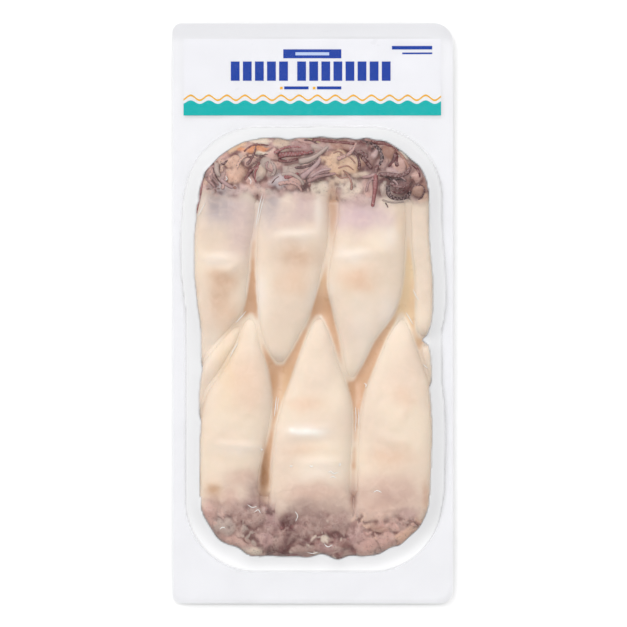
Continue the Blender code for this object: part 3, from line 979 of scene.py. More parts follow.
HEAD_MIDDLE = [
    Litter(("dark", "ash", "lilac"), 11, 10, 3.6, 18),
    Litter(("maroon", "dark", "pink"), 24, 9, 3, 8),
    Lump("orange", -1, 29.2, 4.6, 1.5),
    Lump("beige", 9.2, 30.4, 5, 3.2, 0, 0.6),
    Lump("mauve", 20, 29.2, 7, 2.6),
    Lump("grey", 30.5, 30, 5, 2),
    Lump("brown", 40, 29.4, 6, 2.6),
    Lump("pink", 4.6, 24.2, 3.6, 3.6),
    Lump("pink", 5.3, 19, 4, 3.6),
    Lump("beige", -1.2, 16.5, 3.4, 4),
    Lump("grey", 15.6, 16.5, 5, 3),
    Lump("haze", 9.4, 11.6, 5.6, 4.4),
    Lump("pink", 17, 10.6, 5, 4.4),
    Lump("mauve", 30, 15.6, 6, 3.2, 25),
    Lump("buff", 38.6, 22.4, 6.4, 6.6),
    Lump("brown", 35, 26, 3.4, 3),
    Lump("buff", 46, 20, 7, 6),
    Lump("beige", 42, 12.4, 6, 2.6),
    Lump("cream", 29.4, 6.4, 6.4, 4.2, 0, 0.25),
    Lump("cream", 46, 7, 6, 6, 0, 0.25),
    Lump("rose", 14, 4.6, 8, 3.4, 0, 0.3),
    Lump("tan", 37.4, 4, 1.8, 8, 0, 0.1),
    Arm("dark", 0.5, 0.3, ((21.6, 33), (25.6, 32.6), (29.4, 30.6))),
    Arm("olive", 0.5, 0.4, ((23.8, 33.6), (27.4, 32.8), (31, 31))),
    Arm("crimson", 1.7, 1.1, ((8.2, 24.4), (13.1, 25.4), (19, 25.6), (27, 26.8)), True),
    Arm("maroon", 1.0, 0.7, ((8, 22), (13.1, 21.7), (18.9, 23))),
    Arm("grey", 2.0, 0.8, ((18.9, 21.2), (25.1, 22.7), (30, 25.6), (34.8, 29.6))),
    Arm("dark", 0.8, 0.5, ((16.5, 18), (23.4, 18.8), (27.3, 21), (30, 23.4))),
    Arm("lilac", 1.9, 0.9, ((20.2, 12.6), (25.1, 16.6), (29, 20.4), (30.6, 23.4))),
    Arm("mauve", 1.5, 0.7, ((23.4, 10.7), (30.2, 13.6), (39, 15))),
    Arm("lilac", 0.9, 0.6, ((25, 13), (31, 16.4), (36.4, 17.4))),
    Arm("dark", 0.3, 0.25, ((25.5, 12.4), (31, 14.6), (35.5, 15.4))),
    Arm("grey", 1.2, 0.8, ((9.7, 14.4), (15.4, 14.6), (20, 11.6), (21.6, 8.8))),
    Arm("dark", 0.35, 0.25, ((4.8, 9.7), (6.4, 11.6), (8.7, 13.6))),
    Arm("mauve", 0.7, 0.5, ((3, 21.6), (2, 18.6), (4.4, 16.4), (7.6, 16.6))),
    Arm("brown", 0.5, 0.4, ((38.6, 14.8), (41.6, 12.6), (46, 13.4))),
    Arm("brown", 0.5, 0.4, ((37, 25.6), (40.4, 26.6), (43, 24.4))),
    Arm("maroon", 1.1, 0.8, ((26.1, 33), (33.7, 32.4), (41.2, 31.6), (49, 31))),
]

HEAD_RIGHT = [
    Litter(("black", "dark", "lilac", "wine"), 29, 9, 6, 34),
    Litter(("black", "dark", "mauve", "wine"), 12, 28, 5, 20),
    Lump("buff", -2, 21, 8, 7.5),
    Lump("brown", 0, 31.2, 6, 2.8),
    Lump("plum", 11.6, 28, 4.4, 4),
    Lump("brown", 9.4, 21.6, 3.4, 3),
    Lump("beige", 9, 15.4, 5, 2.8),
    Lump("cream", 6.8, 9, 6.2, 4.6, 0, 0.25),
    Lump("pink", 14, 7.4, 3.2, 5.4, 0, 0.5),
    Lump("rose", 11, 1, 8, 3, 0, 0.3),
    Lump("grey", 22, 6.6, 2.6, 4.4),
    Lump("lilac", 17.6, 26, 2.2, 2.6),
    Lump("mauve", 21.6, 19.6, 3.4, 3),
    Lump("pink", 22.8, 23.4, 1.9, 3.4),
    Lump("brown", 25.2, 25.8, 3, 4.6),
    Lump("cream", 32.4, 26.4, 2.8, 3.6, 30),
    Lump("lilac", 28, 17, 3.4, 2.4),
    Lump("pink", 31.8, 20.2, 4.8, 3.8),
    Lump("dark", 27.2, 8.6, 3.6, 3.2),
    Lump("plum", 32.2, 9.4, 3.2, 2.6),
    Lump("dark", 31.2, 5.2, 3.4, 2.2),
    Lump("pink", 40, 13.8, 3.4, 3.6),
    Lump("brown", 41.4, 6.2, 3.6, 3.6),
    Lump("flesh", 44.6, 0.6, 3.4, 4),
    Lump("rose", 31, -0.4, 7, 2.6, 0, 0.3),
    Arm("black", 0.35, 0.9, ((7, 36.4), (9.2, 34), (12.9, 32.4), (17.2, 31))),
    Arm("black", 1.2, 0.8, ((16.6, 31.2), (20.4, 28), (21.6, 23.8), (20.2, 19.4)), True),
    Arm("maroon", 1.4, 0.9, ((15.6, 32.6), (22.4, 31.4), (27.2, 29.8), (29.8, 27))),
    Arm("wine", 1.1, 0.7, ((28.4, 26.6), (28, 22.6), (24.7, 18.9))),
    Arm("brown", 0.5, 0.4, ((-1, 25.4), (4.4, 24), (7.6, 20.4))),
    Arm("brown", 0.45, 0.35, ((-2, 18), (3, 19.4), (6.6, 17))),
    Arm("plum", 1.3, 1, ((9, 27.4), (11.7, 25.6), (14.3, 23.9)), True),
    Arm("wine", 1.2, 0.9, ((10.4, 24.4), (13.4, 21.4), (16.4, 17.6))),
    Arm("plum", 1.2, 0.8, ((19.6, 20), (18.4, 17.8), (18.6, 15.4))),
    Arm("plum", 1.3, 0.9, ((19.4, 15), (26.4, 14.6), (31.2, 14.2), (35, 16), (36.6, 19.4)), True),
    Arm("mauve", 1.1, 0.8, ((18.6, 15.4), (14.6, 13.8), (10.8, 13.4))),
    Arm("mauve", 0.8, 0.6, ((17.6, 13.6), (14.4, 10.4), (13, 5.4)), True),
    Arm("crimson", 1.6, 0.9, ((18.2, 15), (17.7, 6.6), (16.4, -2.5))),
    Arm("wine", 1.0, 0.7, ((37.4, 20.4), (40.4, 17.4), (41.4, 13.2))),
    Arm("black", 1.2, 0.8, ((24.6, 9.4), (25.2, 4.2), (29.2, 2), (34, 2.9), (37.1, 6.4)), True),
    Arm("black", 0.8, 0.5, ((24.6, 13.4), (27.4, 12), (31, 12.6), (34.4, 11))),
    Arm("plum", 0.9, 0.5, ((25.8, 10.4), (28.6, 8.6), (32.4, 8), (35, 9.6)), True),
    Arm("wine", 0.5, 0.4, ((26.4, 6.6), (29.4, 5), (32.8, 6.2), (33.8, 9.4))),
    Arm("lilac", 0.6, 0.4, ((27.2, 12), (29.4, 10), (30, 6.8))),
    Arm("dark", 0.6, 0.5, ((37.6, 7.7), (40.8, 9.4), (43.8, 7.3), (42.7, 3.2), (40.6, 1.6)), True),
    Arm("dark", 0.45, 0.3, ((23.1, 0), (24.1, -1.4), (24.7, -2.8))),
    Arm("dark", 0.5, 0.3, ((36.4, 1.2), (35, -1), (35.4, -3.8)), True),
    Arm("grey", 0.6, 0.4, ((21.3, 1.4), (26.6, 0), (33.4, 0.4))),
]

FOOT_LEFT = [
    Litter(("plum", "wine", "lilac", "dark", "wine"), 32, 27.5, 6, 40),
    Litter(("plum", "wine", "dark"), 40, 27, 3, 12),
    Litter(("plum", "grey", "dusk", "dark"), 28, 13, 7, 26),
    Litter(("wine", "plum", "dark", "dusk"), 38, 6, 6, 22),
    Litter(("crimson", "pink", "dusk"), 11, 24, 7, 14),
    Lump("pink", 5.4, 22, 5, 9),
    Lump("grey", 15, 17, 5.4, 5.4),
    Lump("dusk", 29.8, 22.3, 8, 6.4),
    Lump("dusk", 19, 26, 6, 6),
    Lump("pink", 17, 9, 8, 4, -30),
    Lump("mauve", 36.6, 9.4, 5, 4.4),
    Lump("mauve", 40, 20, 4, 6),
    Lump("cream", 28.3, 3.6, 6, 2),
    Lump("wine", 32, 7, 2.4, 1.4, 0, 3),
    Lump("lilac", 14, 30, 5, 6, 0, 0.6),
]

FOOT_MIDDLE = [
    Litter(("wine", "plum", "maroon", "crimson", "dusk"), 8, 17, 6, 30),
    Litter(("black", "wine", "plum"), 5, 7, 4, 16),
    Litter(("crimson", "plum", "cream", "dusk", "grey"), 28, 8.5, 12, 40),
    Lump("wine", 9.6, 18, 3.6, 8.5, 12, 2.4),
    Lump("wine", 5, 5.4, 4, 3.6, 0, 2.4),
    Lump("wine", 8.4, 10.4, 2.4, 5, -30, 2.6),
    Lump("dusk", 22, 21, 8, 7),
    Lump("dusk", 36, 21, 7, 7),
    Lump("dusk", 16, 5.6, 6, 3),
    Lump("mauve", 30, 5, 6, 3),
    Lump("maroon", 38.6, 9, 4, 2.4, 0, 1.8),
    Lump("plum", 18, 9.6, 6, 1.4, 0, 1.8),
    Lump("mauve", 46, 12, 5.4, 6),
    Lump("cream", 28.4, 10.4, 2, 2.6),
]

FOOT_RIGHT = [
    Litter(("dusk", "pink", "flesh", "plum"), 4, 22, 7, 12),
    Litter(("pink", "peach", "dusk", "crimson"), 18, 6, 14, 22),
    Litter(("dusk", "pink", "crimson"), 31, 22, 8, 16),
    Lump("blush", 11.4, 27, 8, 7),
    Lump("mauve", 29, 24.6, 5.4, 3.2),
    Lump("brown", 14.4, 17.2, 7.5, 2.2, 0, 1.8),
    Lump("pink", 4.8, 9, 6.4, 6),
    Lump("pink", 17, 10.4, 6, 5),
    Lump("peach", 19.4, 5.6, 3.4, 2.4, 0, 1.8),
    Lump("flesh", 28, 12, 7, 5.4),
    Lump("clay", 36.4, 22, 2.8, 6.4, 12, 0.6),
    Lump("lilac", 25.4, 4.6, 3.4, 1.8),
]

CONTENTS = dict(zip(CLUSTERS, (HEAD_LEFT, HEAD_MIDDLE, HEAD_RIGHT, FOOT_LEFT, FOOT_MIDDLE, FOOT_RIGHT)))
FILLERS = {
    "tentacles_head_left": ("pink", "mauve", "flesh", "plum"),
    "tentacles_head_middle": ("mauve", "pink", "grey", "crimson"),
    "tentacles_head_right": ("mauve", "brown", "plum", "wine"),
    "tentacles_foot_left": ("dusk", "pink", "dusk", "flesh"),
    "tentacles_foot_middle": ("dusk", "crimson", "dusk", "mauve"),
    "tentacles_foot_right": ("pink", "blush", "dusk", "flesh"),
}


BLOCK = {"left": -61.5 * MM, "right": 63 * MM, "foot": -131 * MM, "head": 95 * MM}
BLOCK_CORNER = (36 * MM, 33 * MM, 1.8)  # reach along X and Y, and power, of its flattened round corners


def block_inset(x):
    """How far the block's round corners draw its ends in at x."""
    reach_x, reach_y, power = BLOCK_CORNER
    past = np.maximum(BLOCK["left"] + reach_x - x, x - (BLOCK["right"] - reach_x)) / reach_x
    return reach_y * (1 - (1 - np.clip(past, 0, 1) ** power) ** (1 / power))


class Heap:
    """The flesh of one cluster: it runs on from the mantles' mouths and breaks up into soft lumps."""

    CROWN = 14.6 * MM
    UNDER_MANTLES = 14 * MM
    OVERLAP = 5 * MM  # how far neighbouring heaps run into each other
    MEETS = 6 * MM  # it comes out from under the mantles this far inside their mouths

    def __init__(self, node, lumps, tints, opens, seed, tree):
        self.node = node
        self.lumps = lumps
        self.tints = [np.array(TINTS[name]) for name in tints]
        self.opens = opens
        self.seed = seed
        self.at_head = "head" in node
        low, high = (np.array(corner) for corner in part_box(node))
        self.origin = low[:2]
        self.x_low = low[0] - (0.4 * MM if "left" in node else self.OVERLAP)
        self.x_high = high[0] + (0.4 * MM if "right" in node else self.OVERLAP)
        self.along = np.linspace(self.x_low, self.x_high, 160)
        uneven = 1.7 * MM * ripple(self.along, self.along * 0, 9 * MM, 60.0 + self.at_head)
        if self.at_head:
            self.low = np.full(len(self.along), low[1] - self.UNDER_MANTLES)
            self.high = BLOCK["head"] - block_inset(self.along) - 0.8 * MM + uneven
            inside = low[1] - self.MEETS
        else:
            self.low = BLOCK["foot"] + block_inset(self.along) + 0.8 * MM + uneven
            self.high = np.full(len(self.along), high[1] + self.UNDER_MANTLES)
            inside = high[1] + self.MEETS
        self.mouths = np.maximum(tops(tree, self.along, np.full(len(self.along), inside)), 10 * MM)
        self.tree = tree

    def base(self, x, y):
        """Height of the heap before its lumps, how far it is opened up, and its fullness, 0 to 1."""
        low, high = (np.interp(x, self.along, row) for row in (self.low, self.high))
        to_edge, past = (high - y, y - low) if self.at_head else (y - low, high - y)
        past = past - self.UNDER_MANTLES
        start, end = (reach * MM for reach in self.opens)
        opened = smooth_step(past + 2.5 * MM * ripple(x, y, 6 * MM, self.seed + 40), start, end)
        crown = self.CROWN - 1.6 * MM * smooth_step(past, 6 * MM, 34 * MM)
        to_side = np.minimum(x - BLOCK["left"], BLOCK["right"] - x)
        rise = rounded_end(to_edge, 8 * MM) * (0.45 + 0.55 * rounded_end(to_side, 8 * MM))
        ends = rounded_end(np.minimum(x - self.x_low, self.x_high - x), 2.5 * MM)
        crown = SACK_FLOOR + (crown - SACK_FLOOR) * (0.45 + 0.55 * rise) * (0.35 + 0.65 * ends)
        wall = np.interp(x, self.along, self.mouths)
        under = past < 0
        mantles = np.maximum(tops(self.tree, x[under], y[under]) - 0.04 * MM, wall[under] - 2 * MM)
        out = smooth_step(past[under] + 1.5 * MM * ripple(x[under], y[under], 6 * MM, 8.0), -self.MEETS - 3 * MM, -self.MEETS + 1 * MM)
        wall[under] = mantles + (wall[under] - mantles) * out
        wall = wall - 1.2 * MM * (1 - smooth_step(past, -10 * MM, -6 * MM))
        level = wall + (crown - wall) * smooth_step(past, -1 * MM, max(end, 8 * MM))
        return level - (level - SACK_FLOOR) * 0.3 * (1 - rounded_end(to_edge, 3 * MM)), opened, rise

    def surface(self, x, y):
        """Height and colour of the heap at points, and how far it is opened up."""
        base, opened, rise = self.base(x, y)
        broad = ripple(x, y, 6.5 * MM, self.seed)
        fine = ripple(x, y, 2.6 * MM, self.seed + 3)
        bend_x = 1.3 * MM * ripple(x, y, 5 * MM, self.seed + 20) + 0.4 * MM * fine
        bend_y = 1.3 * MM * ripple(x, y, 5 * MM, self.seed + 30) + 0.4 * MM * broad
        heights = [base + (0.7 * MM * broad + 0.25 * MM * fine) * rise * opened]
        blend = np.clip(0.5 + 0.6 * broad, 0, 1)[..., None]
        other = smooth_step(ripple(x, y, 4 * MM, self.seed + 14), 0.1, 0.6)[..., None]
        first, second, third = self.tints[:3]
        colours = [(first * blend + second * (1 - blend)) * (1 - other) + third * other]
        softness = 1.0 if self.at_head else 0.5
        for number, lump in enumerate(self.lumps):
            turned = np.radians(lump.turn)
            dx = x + bend_x - lump.x * MM
            dy = y + bend_y - lump.y * MM
            u = (dx * cos(turned) + dy * sin(turned)) / (lump.wide * MM)
            v = (dy * cos(turned) - dx * sin(turned)) / (lump.deep * MM)
            lift = min(1.8, (0.25 + 0.35 * min(lump.wide, lump.deep)) * lump.rise) * MM * softness
            flat = 2 + number % 3
            dome = lift * (1 - (u**2 + v**2) ** (flat / 2))
            heights.append(base + (np.maximum(dome, -3 * MM) + 0.25 * MM * fine * rise) * opened)
            colours.append(np.array(TINTS[lump.tint]) * (1 + 0.08 * broad[..., None]))
        heights = np.array(heights)
        peak = heights.max(axis=0)
        smooth = peak + 0.25 * MM * np.log(np.exp((heights - peak) / (0.25 * MM)).sum(axis=0)) * opened
        weights = np.exp((heights - peak) / (0.22 * MM))[..., None]
        colour = (weights * np.array(colours)).sum(axis=0) / weights.sum(axis=0)
        wall = wall_colour(x, y)
        share = opened * (1.0 if self.at_head else 0.9)
        return smooth, wall + (colour - wall) * share[..., None], opened

    def piece(self, material):
        """The heap as a closed tube of sections along X."""
        around = 132
        share = np.linspace(-1, 1, around - 22)
        upper = np.sin(share * pi / 2)[::-1]
        x = np.broadcast_to(self.along[:, None], (len(self.along), len(upper)))
        middle, half = ((self.low + self.high) / 2)[:, None], ((self.high - self.low) / 2)[:, None]
        full = rounded_end(np.minimum(self.along - self.x_low, self.x_high - self.along), 2.5 * MM)[:, None]
        y = middle + half * full * upper
        z, colour, opened = self.surface(x, y)
        # painted shade in the hollows, where the surface lies below its surroundings
        crease = np.clip((blurred(z, 3) - z) / (0.35 * MM), 0, 1) * opened
        turn = (np.arange(22) + 1) / 23 * pi
        under_y = middle - half * full * np.cos(turn)
        side = z[:, -1:] * (1 + np.cos(turn)) / 2 + z[:, :1] * (1 - np.cos(turn)) / 2
        under_z = side - (side - SACK_FLOOR) * np.sin(turn) ** 0.5
        under = np.stack((np.broadcast_to(x[:, :1], under_y.shape), under_y, under_z), -1)
        rings = np.concatenate((np.stack((x, y, z), -1), under), axis=1)
        shade = np.concatenate((colour, np.repeat(colour[:, -1:], 22, axis=1)), axis=1)
        shade = np.concatenate((shade, np.ones((*shade.shape[:2], 1))), axis=-1)
        none = np.zeros(under_y.shape)
        flank, torn = (np.concatenate((row, none), axis=1).ravel() for row in (crease, opened))
        build = Build()
        build.tube(rings, tint=shade.reshape(-1, 4), flank=flank, torn=torn)
        return build.piece(self.node.replace("tentacles", "flesh"), material, "tentacles", [self.node])


def blurred(heights, reach):
    """Heights evened out over that many grid steps."""
    for axis in (0, 1):
        heights = np.apply_along_axis(smooth_row, axis, heights, 1.0, reach)
    return heights


GRAIN = dict(zip(CLUSTERS, (70, 20, 110, 140, 60, 20)))  # direction of most arms, degrees from +X

# between these distances past the mouths, in mm, the flesh turns from smooth wall to lumps and arms
OPENS = dict(zip(CLUSTERS, ((1, 7), (1, 7), (-2, 5), (1, 9), (4, 15), (5, 16))))


def tinted(name, count, rng, spread=0.10):
    """A colour for count vertices, a little lighter or darker from one thing to the next."""
    colour = np.array(TINTS[name]) * (1 + rng.uniform(-spread, spread))
    return np.tile([*np.clip(colour, 0, 1), 1.0], (count, 1))


def lay_arm(arm, origin, relief, arms, suckers, rng):
    rough = np.array(arm.path) * MM + origin
    length = np.linalg.norm(np.diff(rough, axis=0), axis=1).sum()
    steps = max(8, int(length / (0.5 * MM)))
    path = spline(rough, steps)
    share = np.linspace(0, 1, steps)
    ends = rounded_end(np.minimum(share, 1 - share) * length, 1.0 * MM)
    uneven = 1 + 0.08 * np.sin(share * length / (1.7 * MM) + rng.uniform(0, 6))
    radius = (arm.thick + (arm.thin - arm.thick) * share) * MM * ends * uneven
    z = smooth_row(relief.at(path[:, 0], path[:, 1]) + 0.1 * radius, 0.5 * MM, 1.5 * MM)
    heading = np.gradient(path, axis=0)
    heading /= np.linalg.norm(heading, axis=1)[:, None]
    side = np.column_stack((-heading[:, 1], heading[:, 0], np.zeros(steps)))
    middle = np.column_stack((path, z))
    angle = np.arange(12) / 12 * 2 * pi
    up = np.array((0, 0, FLATTENED))
    rings = middle[:, None, :] + radius[:, None, None] * (
        side[:, None, :] * np.cos(angle)[None, :, None] + up * np.sin(angle)[None, :, None]
    )
    # painted shade on the arm's sides and underside, none on its top
    flank = np.tile(1 - smooth_step(np.sin(angle), 0.1, 0.95), steps)
    arms.tube(rings, tint=tinted(arm.tint, steps * 12, rng), flank=flank)
    for k in range(0, steps, 2):
        relief.add_dome(*path[k], radius[k], z[k] + FLATTENED * radius[k], 0.9 * radius[k])
    if arm.suckers:
        gap = max(1, int(1.1 * MM / (length / steps)))
        for number, k in enumerate(range(1, steps - 1, gap)):
            across = side[k] * radius[k] * (0.42 if number % 2 else -0.42)
            place = middle[k] + across + (0, 0, FLATTENED * radius[k] * 0.88)
            add_sucker(suckers, place, min(0.4 * MM, 0.45 * radius[k]), rng)


FLATTENED = 0.7  # height of an arm against its width


def add_sucker(build, place, radius, rng):
    """A small cup: a ring with a dark hollow."""
    around = np.arange(8) / 8 * 2 * pi
    rings = []
    for reach, lift in ((1.1, -0.3), (0.95, 0.25), (0.6, 0.3), (0.35, -0.05)):
        ring = np.column_stack((np.cos(around) * reach, np.sin(around) * reach, np.full(8, lift)))
        rings.append(place + ring * radius)
    pale = np.array(TINTS["lilac"]) * rng.uniform(0.6, 1.0)
    hollow = np.array(TINTS["black"])
    shades = np.repeat((pale, pale, pale, hollow), 8, axis=0)
    build.tube(np.array(rings), tint=np.column_stack((shades, np.ones(32))), flank=np.zeros(32))


def filler_arm(heap, tints, grain, rng):
    """An arm or a wisp under the named ones, lying roughly along the cluster's grain."""
    x = rng.uniform(heap.x_low + 4 * MM, heap.x_high - 4 * MM)
    low, high = np.interp(x, heap.along, heap.low), np.interp(x, heap.along, heap.high)
    inner, outer = (low + heap.UNDER_MANTLES, high) if heap.at_head else (high - heap.UNDER_MANTLES, low)
    y = inner + (outer - inner) * rng.uniform(0.1, 0.8)
    heading = np.radians(grain + rng.normal(0, 28))
    bend = rng.normal(0, 0.35)
    step = rng.uniform(2.0, 4.0) * MM
    path = []
    for _ in range(5):
        path.append((x / MM, y / MM))
        x += step * cos(heading)
        y += step * sin(heading)
        heading += bend
        bend += rng.normal(0, 0.15)
    thick = rng.uniform(0.8, 1.5)
    return Arm(tints[rng.integers(len(tints))], thick, thick * 0.5, tuple(path), bool(rng.random() < 0.4))


def lumps_of(node):
    """A cluster's lumps and litter, with their places in the pack's frame."""
    rng = np.random.default_rng(70 + CLUSTERS.index(node))
    lumps = []
    for thing in CONTENTS[node]:
        if isinstance(thing, Lump):
            lumps.append(thing)
        elif isinstance(thing, Litter):
            lumps.extend(thing.lumps(rng))
    corner = np.array(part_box(node)[0]) / MM
    return [replace(lump, x=lump.x + corner[0], y=lump.y + corner[1]) for lump in lumps]


def make_clusters(flesh, bodies):
    """A heap of flesh in each cluster, with the arms laid over it."""
    skin = arm_material()
    tree = surface_tree(bodies)
    relief = Relief(PACK_LOW, PACK_HIGH)
    for node in HEAD_ROW + FOOT_ROW + LOWER:
        relief.lay_sack(Sack(node))
    heaps = []
    for end in ("head", "foot"):
        row = [node for node in CLUSTERS if end in node]
        lumps = [lump for node in row for lump in lumps_of(node)]
        heaps.extend(Heap(node, lumps, FILLERS[node], OPENS[node], 3.1 * len(end + row[0]), tree) for node in row)
    for heap in heaps:
        relief.lay_heap(heap)
    made = [heap.piece(flesh) for heap in heaps]
    for number, heap in enumerate(heaps):
        rng = np.random.default_rng(40 + number)
        arms, suckers = Build(), Build()
        for _ in range(5 if heap.at_head else 0):
            lay_arm(filler_arm(heap, FILLERS[heap.node], GRAIN[heap.node], rng), np.zeros(2), relief, arms, suckers, rng)
        for thing in CONTENTS[heap.node]:
            if isinstance(thing, Arm):
                lay_arm(thing, heap.origin, relief, arms, suckers, rng)
        name = heap.node.replace("tentacles_", "")
        for kind, build in (("arms", arms), ("suckers", suckers)):
            if build.points:
                made.append(build.piece(f"{kind}_{name}", skin, "tentacles"))
    return made, relief


# ---------------------------------------------------------------- film and juice

FILM_GAP = 0.12 * MM
JUICE_CURVE = 10 * MM  # radius to which the juice's surface hangs in a gap


def edge_inset(y):
    """How far the pack's left and right edges come in at its round corners, at y."""
    insets = []
    for head_radius, foot_radius in ((PACK_CORNERS[1], PACK_CORNERS[2]), (PACK_CORNERS[0], PACK_CORNERS[3])):
        head = np.clip(1 - (PACK_HIGH[1] - y) / head_radius, 0, 1)
        foot = np.clip(1 - (y - PACK_LOW[1]) / foot_radius, 0, 1)
        insets.append(head_radius * (1 - np.sqrt(1 - head**2)) + foot_radius * (1 - np.sqrt(1 - foot**2)))
    return insets


def stretched(below, step, curve, rounds):
    """Heights of a sheet drawn down onto a grid of heights until it bends, at most, to a radius."""
    z = below.copy()
    pull = step**2 / (4 * curve)
    for _ in range(rounds):
        padded = np.pad(z, 1, mode="edge")
        mean = (padded[1:-1, :-2] + padded[1:-1, 2:] + padded[:-2, 1:-1] + padded[2:, 1:-1]) / 4
        z = np.maximum(below, mean - pull)
    return z


class Skin:
    """A sheet stretched over the pieces: it lies on what stands up and spans what lies between."""

    STEP = 0.85 * MM
    TIGHTNESS = 6 * MM  # radius to which the sheet is drawn down into a gap

    def __init__(self, pieces):
        columns = int((PACK_HIGH[0] - PACK_LOW[0]) / self.STEP) + 1
        rows = int((PACK_HIGH[1] - PACK_LOW[1]) / self.STEP) + 1
        edge = 0.2 * MM
        y = np.linspace(PACK_LOW[1] + edge, PACK_HIGH[1] - edge, rows)[:, None]
        inset_left, inset_right = edge_inset(y)
        left, right = PACK_LOW[0] + edge + inset_left, PACK_HIGH[0] - edge - inset_right
        self.x = left + (right - left) * np.linspace(0, 1, columns)[None, :]
        self.y = np.broadcast_to(y, self.x.shape)
        tree = surface_tree(pieces)
        below = tops(tree, self.x, self.y)
        half = self.STEP / 2
        for a, b in ((half, 0), (-half, 0), (0, half), (0, -half), (half, half), (-half, -half)):
            below = np.maximum(below, tops(tree, self.x + a, self.y + b))
        below += FILM_GAP
        self.z = stretched(below, self.STEP, self.TIGHTNESS, 160)

    def height(self, x, y):
        """Height of the sheet at points: y gives the row and the share of the row's width the column."""
        rows, columns = self.z.shape
        v = np.clip(np.interp(y, self.y[:, 0], np.arange(rows)), 0, rows - 1.001)
        j = v.astype(int)
        u = np.clip((x - self.x[j, 0]) / (self.x[j, -1] - self.x[j, 0]) * (columns - 1), 0, columns - 1.001)
        i = u.astype(int)
        near = self.z[j, i] * (1 - (u - i)) + self.z[j, i + 1] * (u - i)
        far = self.z[j + 1, i] * (1 - (u - i)) + self.z[j + 1, i + 1] * (u - i)
        return near * (1 - (v - j)) + far * (v - j)


def well_depth(x, y):
    """How far points lie inside the well's outline; below 0 outside it."""
    corner = WELL["corner"]
    across = np.maximum(WELL["left"] - x, x - WELL["right"]) + corner
    along = np.maximum(WELL["foot"] - y, y - WELL["head"]) + corner
    beyond = np.hypot(np.maximum(across, 0), np.maximum(along, 0))
    return corner - beyond - np.minimum(np.maximum(across, along), 0)


def make_film(skin, relief):
    """The skin film; it is hazy between the edge of the contents and the flange."""
    ys, lefts, rights = contents_edges(relief)
    xs, feet, heads = contents_edges(relief, along_x=True)
    beside = np.maximum(np.interp(skin.y, ys, lefts) - skin.x, skin.x - np.interp(skin.y, ys, rights))
    beyond = np.maximum(np.interp(skin.x, xs, feet) - skin.y, skin.y - np.interp(skin.x, xs, heads))
    outside = np.maximum(beside, beyond)
    depth = well_depth(skin.x, skin.y)
    lifted = smooth_step(skin.z, FLANGE_TOP + 0.15 * MM, FLANGE_TOP + 0.5 * MM)
    lifted = lifted * smooth_step(depth, -4.2 * MM, -3.2 * MM)
    over_well = np.maximum(smooth_step(depth, -1.6 * MM, -0.2 * MM), lifted)
    haze = 0.92 * smooth_step(outside, -1.4 * MM, -0.1 * MM) * over_well
    slope = np.hypot(*np.gradient(skin.z, skin.STEP))
    # painted light: whiter haze where the film is steep, against the shade that falls on it, and towards the foot,
    # where the film over the well catches the light
    at_foot = 0.85 * smooth_step(-skin.y, 100 * MM, 130 * MM)
    pale = np.maximum(smooth_step(slope, 1.4, 2.6), at_foot)
    build = Build()
    points = np.stack((skin.x, skin.y, skin.z), -1)
    build.add(points, grid_faces(*skin.z.shape), haze=haze.ravel(), pale=pale.ravel())
    return build.piece("film", film_material(), "film", ["skin_film"])


@dataclass
class Crease:
    """A thin sharp fold of the film that catches the light: half width in mm, and places in mm."""

    width: float
    path: tuple


CREASES = [
    Crease(0.22, ((-26.5, 63.5), (-28.4, 56), (-30.3, 45))),
    Crease(0.16, ((-25.4, 62.5), (-27.6, 54), (-29.2, 47))),
    Crease(0.20, ((-56.5, 59), (-59, 54.5), (-61, 51))),
    Crease(0.20, ((-35.3, 1.2), (-38, -2), (-41.2, -5.3))),
    Crease(0.20, ((-39.5, -15.5), (-42, -19.5), (-44, -23.5))),
    Crease(0.22, ((-19.2, -44), (-19.8, -49.5), (-20.3, -54.8))),
    Crease(0.16, ((-18, -44.5), (-18.6, -49), (-19, -52.5))),
    Crease(0.22, ((49.4, 0.5), (51.4, -2.6), (53.3, -6))),
    Crease(0.24, ((62.4, 47.5), (62.8, 45.5), (62.6, 43.8))),
    Crease(0.20, ((22.5, -49.5), (22.9, -55.5), (22.5, -63))),
    Crease(0.15, ((24, -50), (24.3, -55), (24.1, -60))),
    Crease(0.30, ((27.2, -37), (28.4, -38), (27.8, -39.2))),
    Crease(0.30, ((-27.5, -71.3), (-27, -72.2), (-26.2, -72))),
    Crease(0.35, ((-12, -80.2), (-11.5, -80.8), (-10.6, -80.4))),
    Crease(0.35, ((-1.5, -80.3), (-0.8, -80.9), (0.2, -80.5))),
    Crease(0.35, ((14, -79), (14.6, -79.8), (13.8, -80.6))),
    Crease(0.25, ((8, -84), (9.5, -83.4), (11, -84.6), (13.5, -83.8))),
    Crease(0.25, ((9, -87), (10.5, -86.2), (12.5, -87.2))),
    Crease(0.20, ((63, -8), (62.2, -12), (62.8, -16))),
    Crease(0.20, ((53, 13), (54.6, 9.5), (56.4, 6.8))),
    Crease(0.20, ((58.4, -27), (60, -28.4), (61.4, -29.4))),
    Crease(0.28, ((32, -94.6), (34, -93.6), (36.4, -94.6))),
    Crease(0.22, ((-34, 72), (-32.6, 70), (-33, 68))),
    Crease(0.22, ((-46, 72.5), (-45.2, 71), (-46, 70))),
    Crease(0.25, ((-49, -114), (-47.6, -113), (-46, -113.6))),
    Crease(0.22, ((-34.5, -101), (-32, -102.5), (-29.5, -102))),
    Crease(0.22, ((-31, -105), (-28.8, -103.8), (-27.5, -105.6))),
    Crease(0.20, ((-9.4, -104.5), (-8, -107), (-9, -110))),
    Crease(0.22, ((-3, -126.5), (0, -127.2), (3, -126.4))),
    Crease(0.26, ((6, -122), (8, -123.5), (10.5, -122.4))),
]


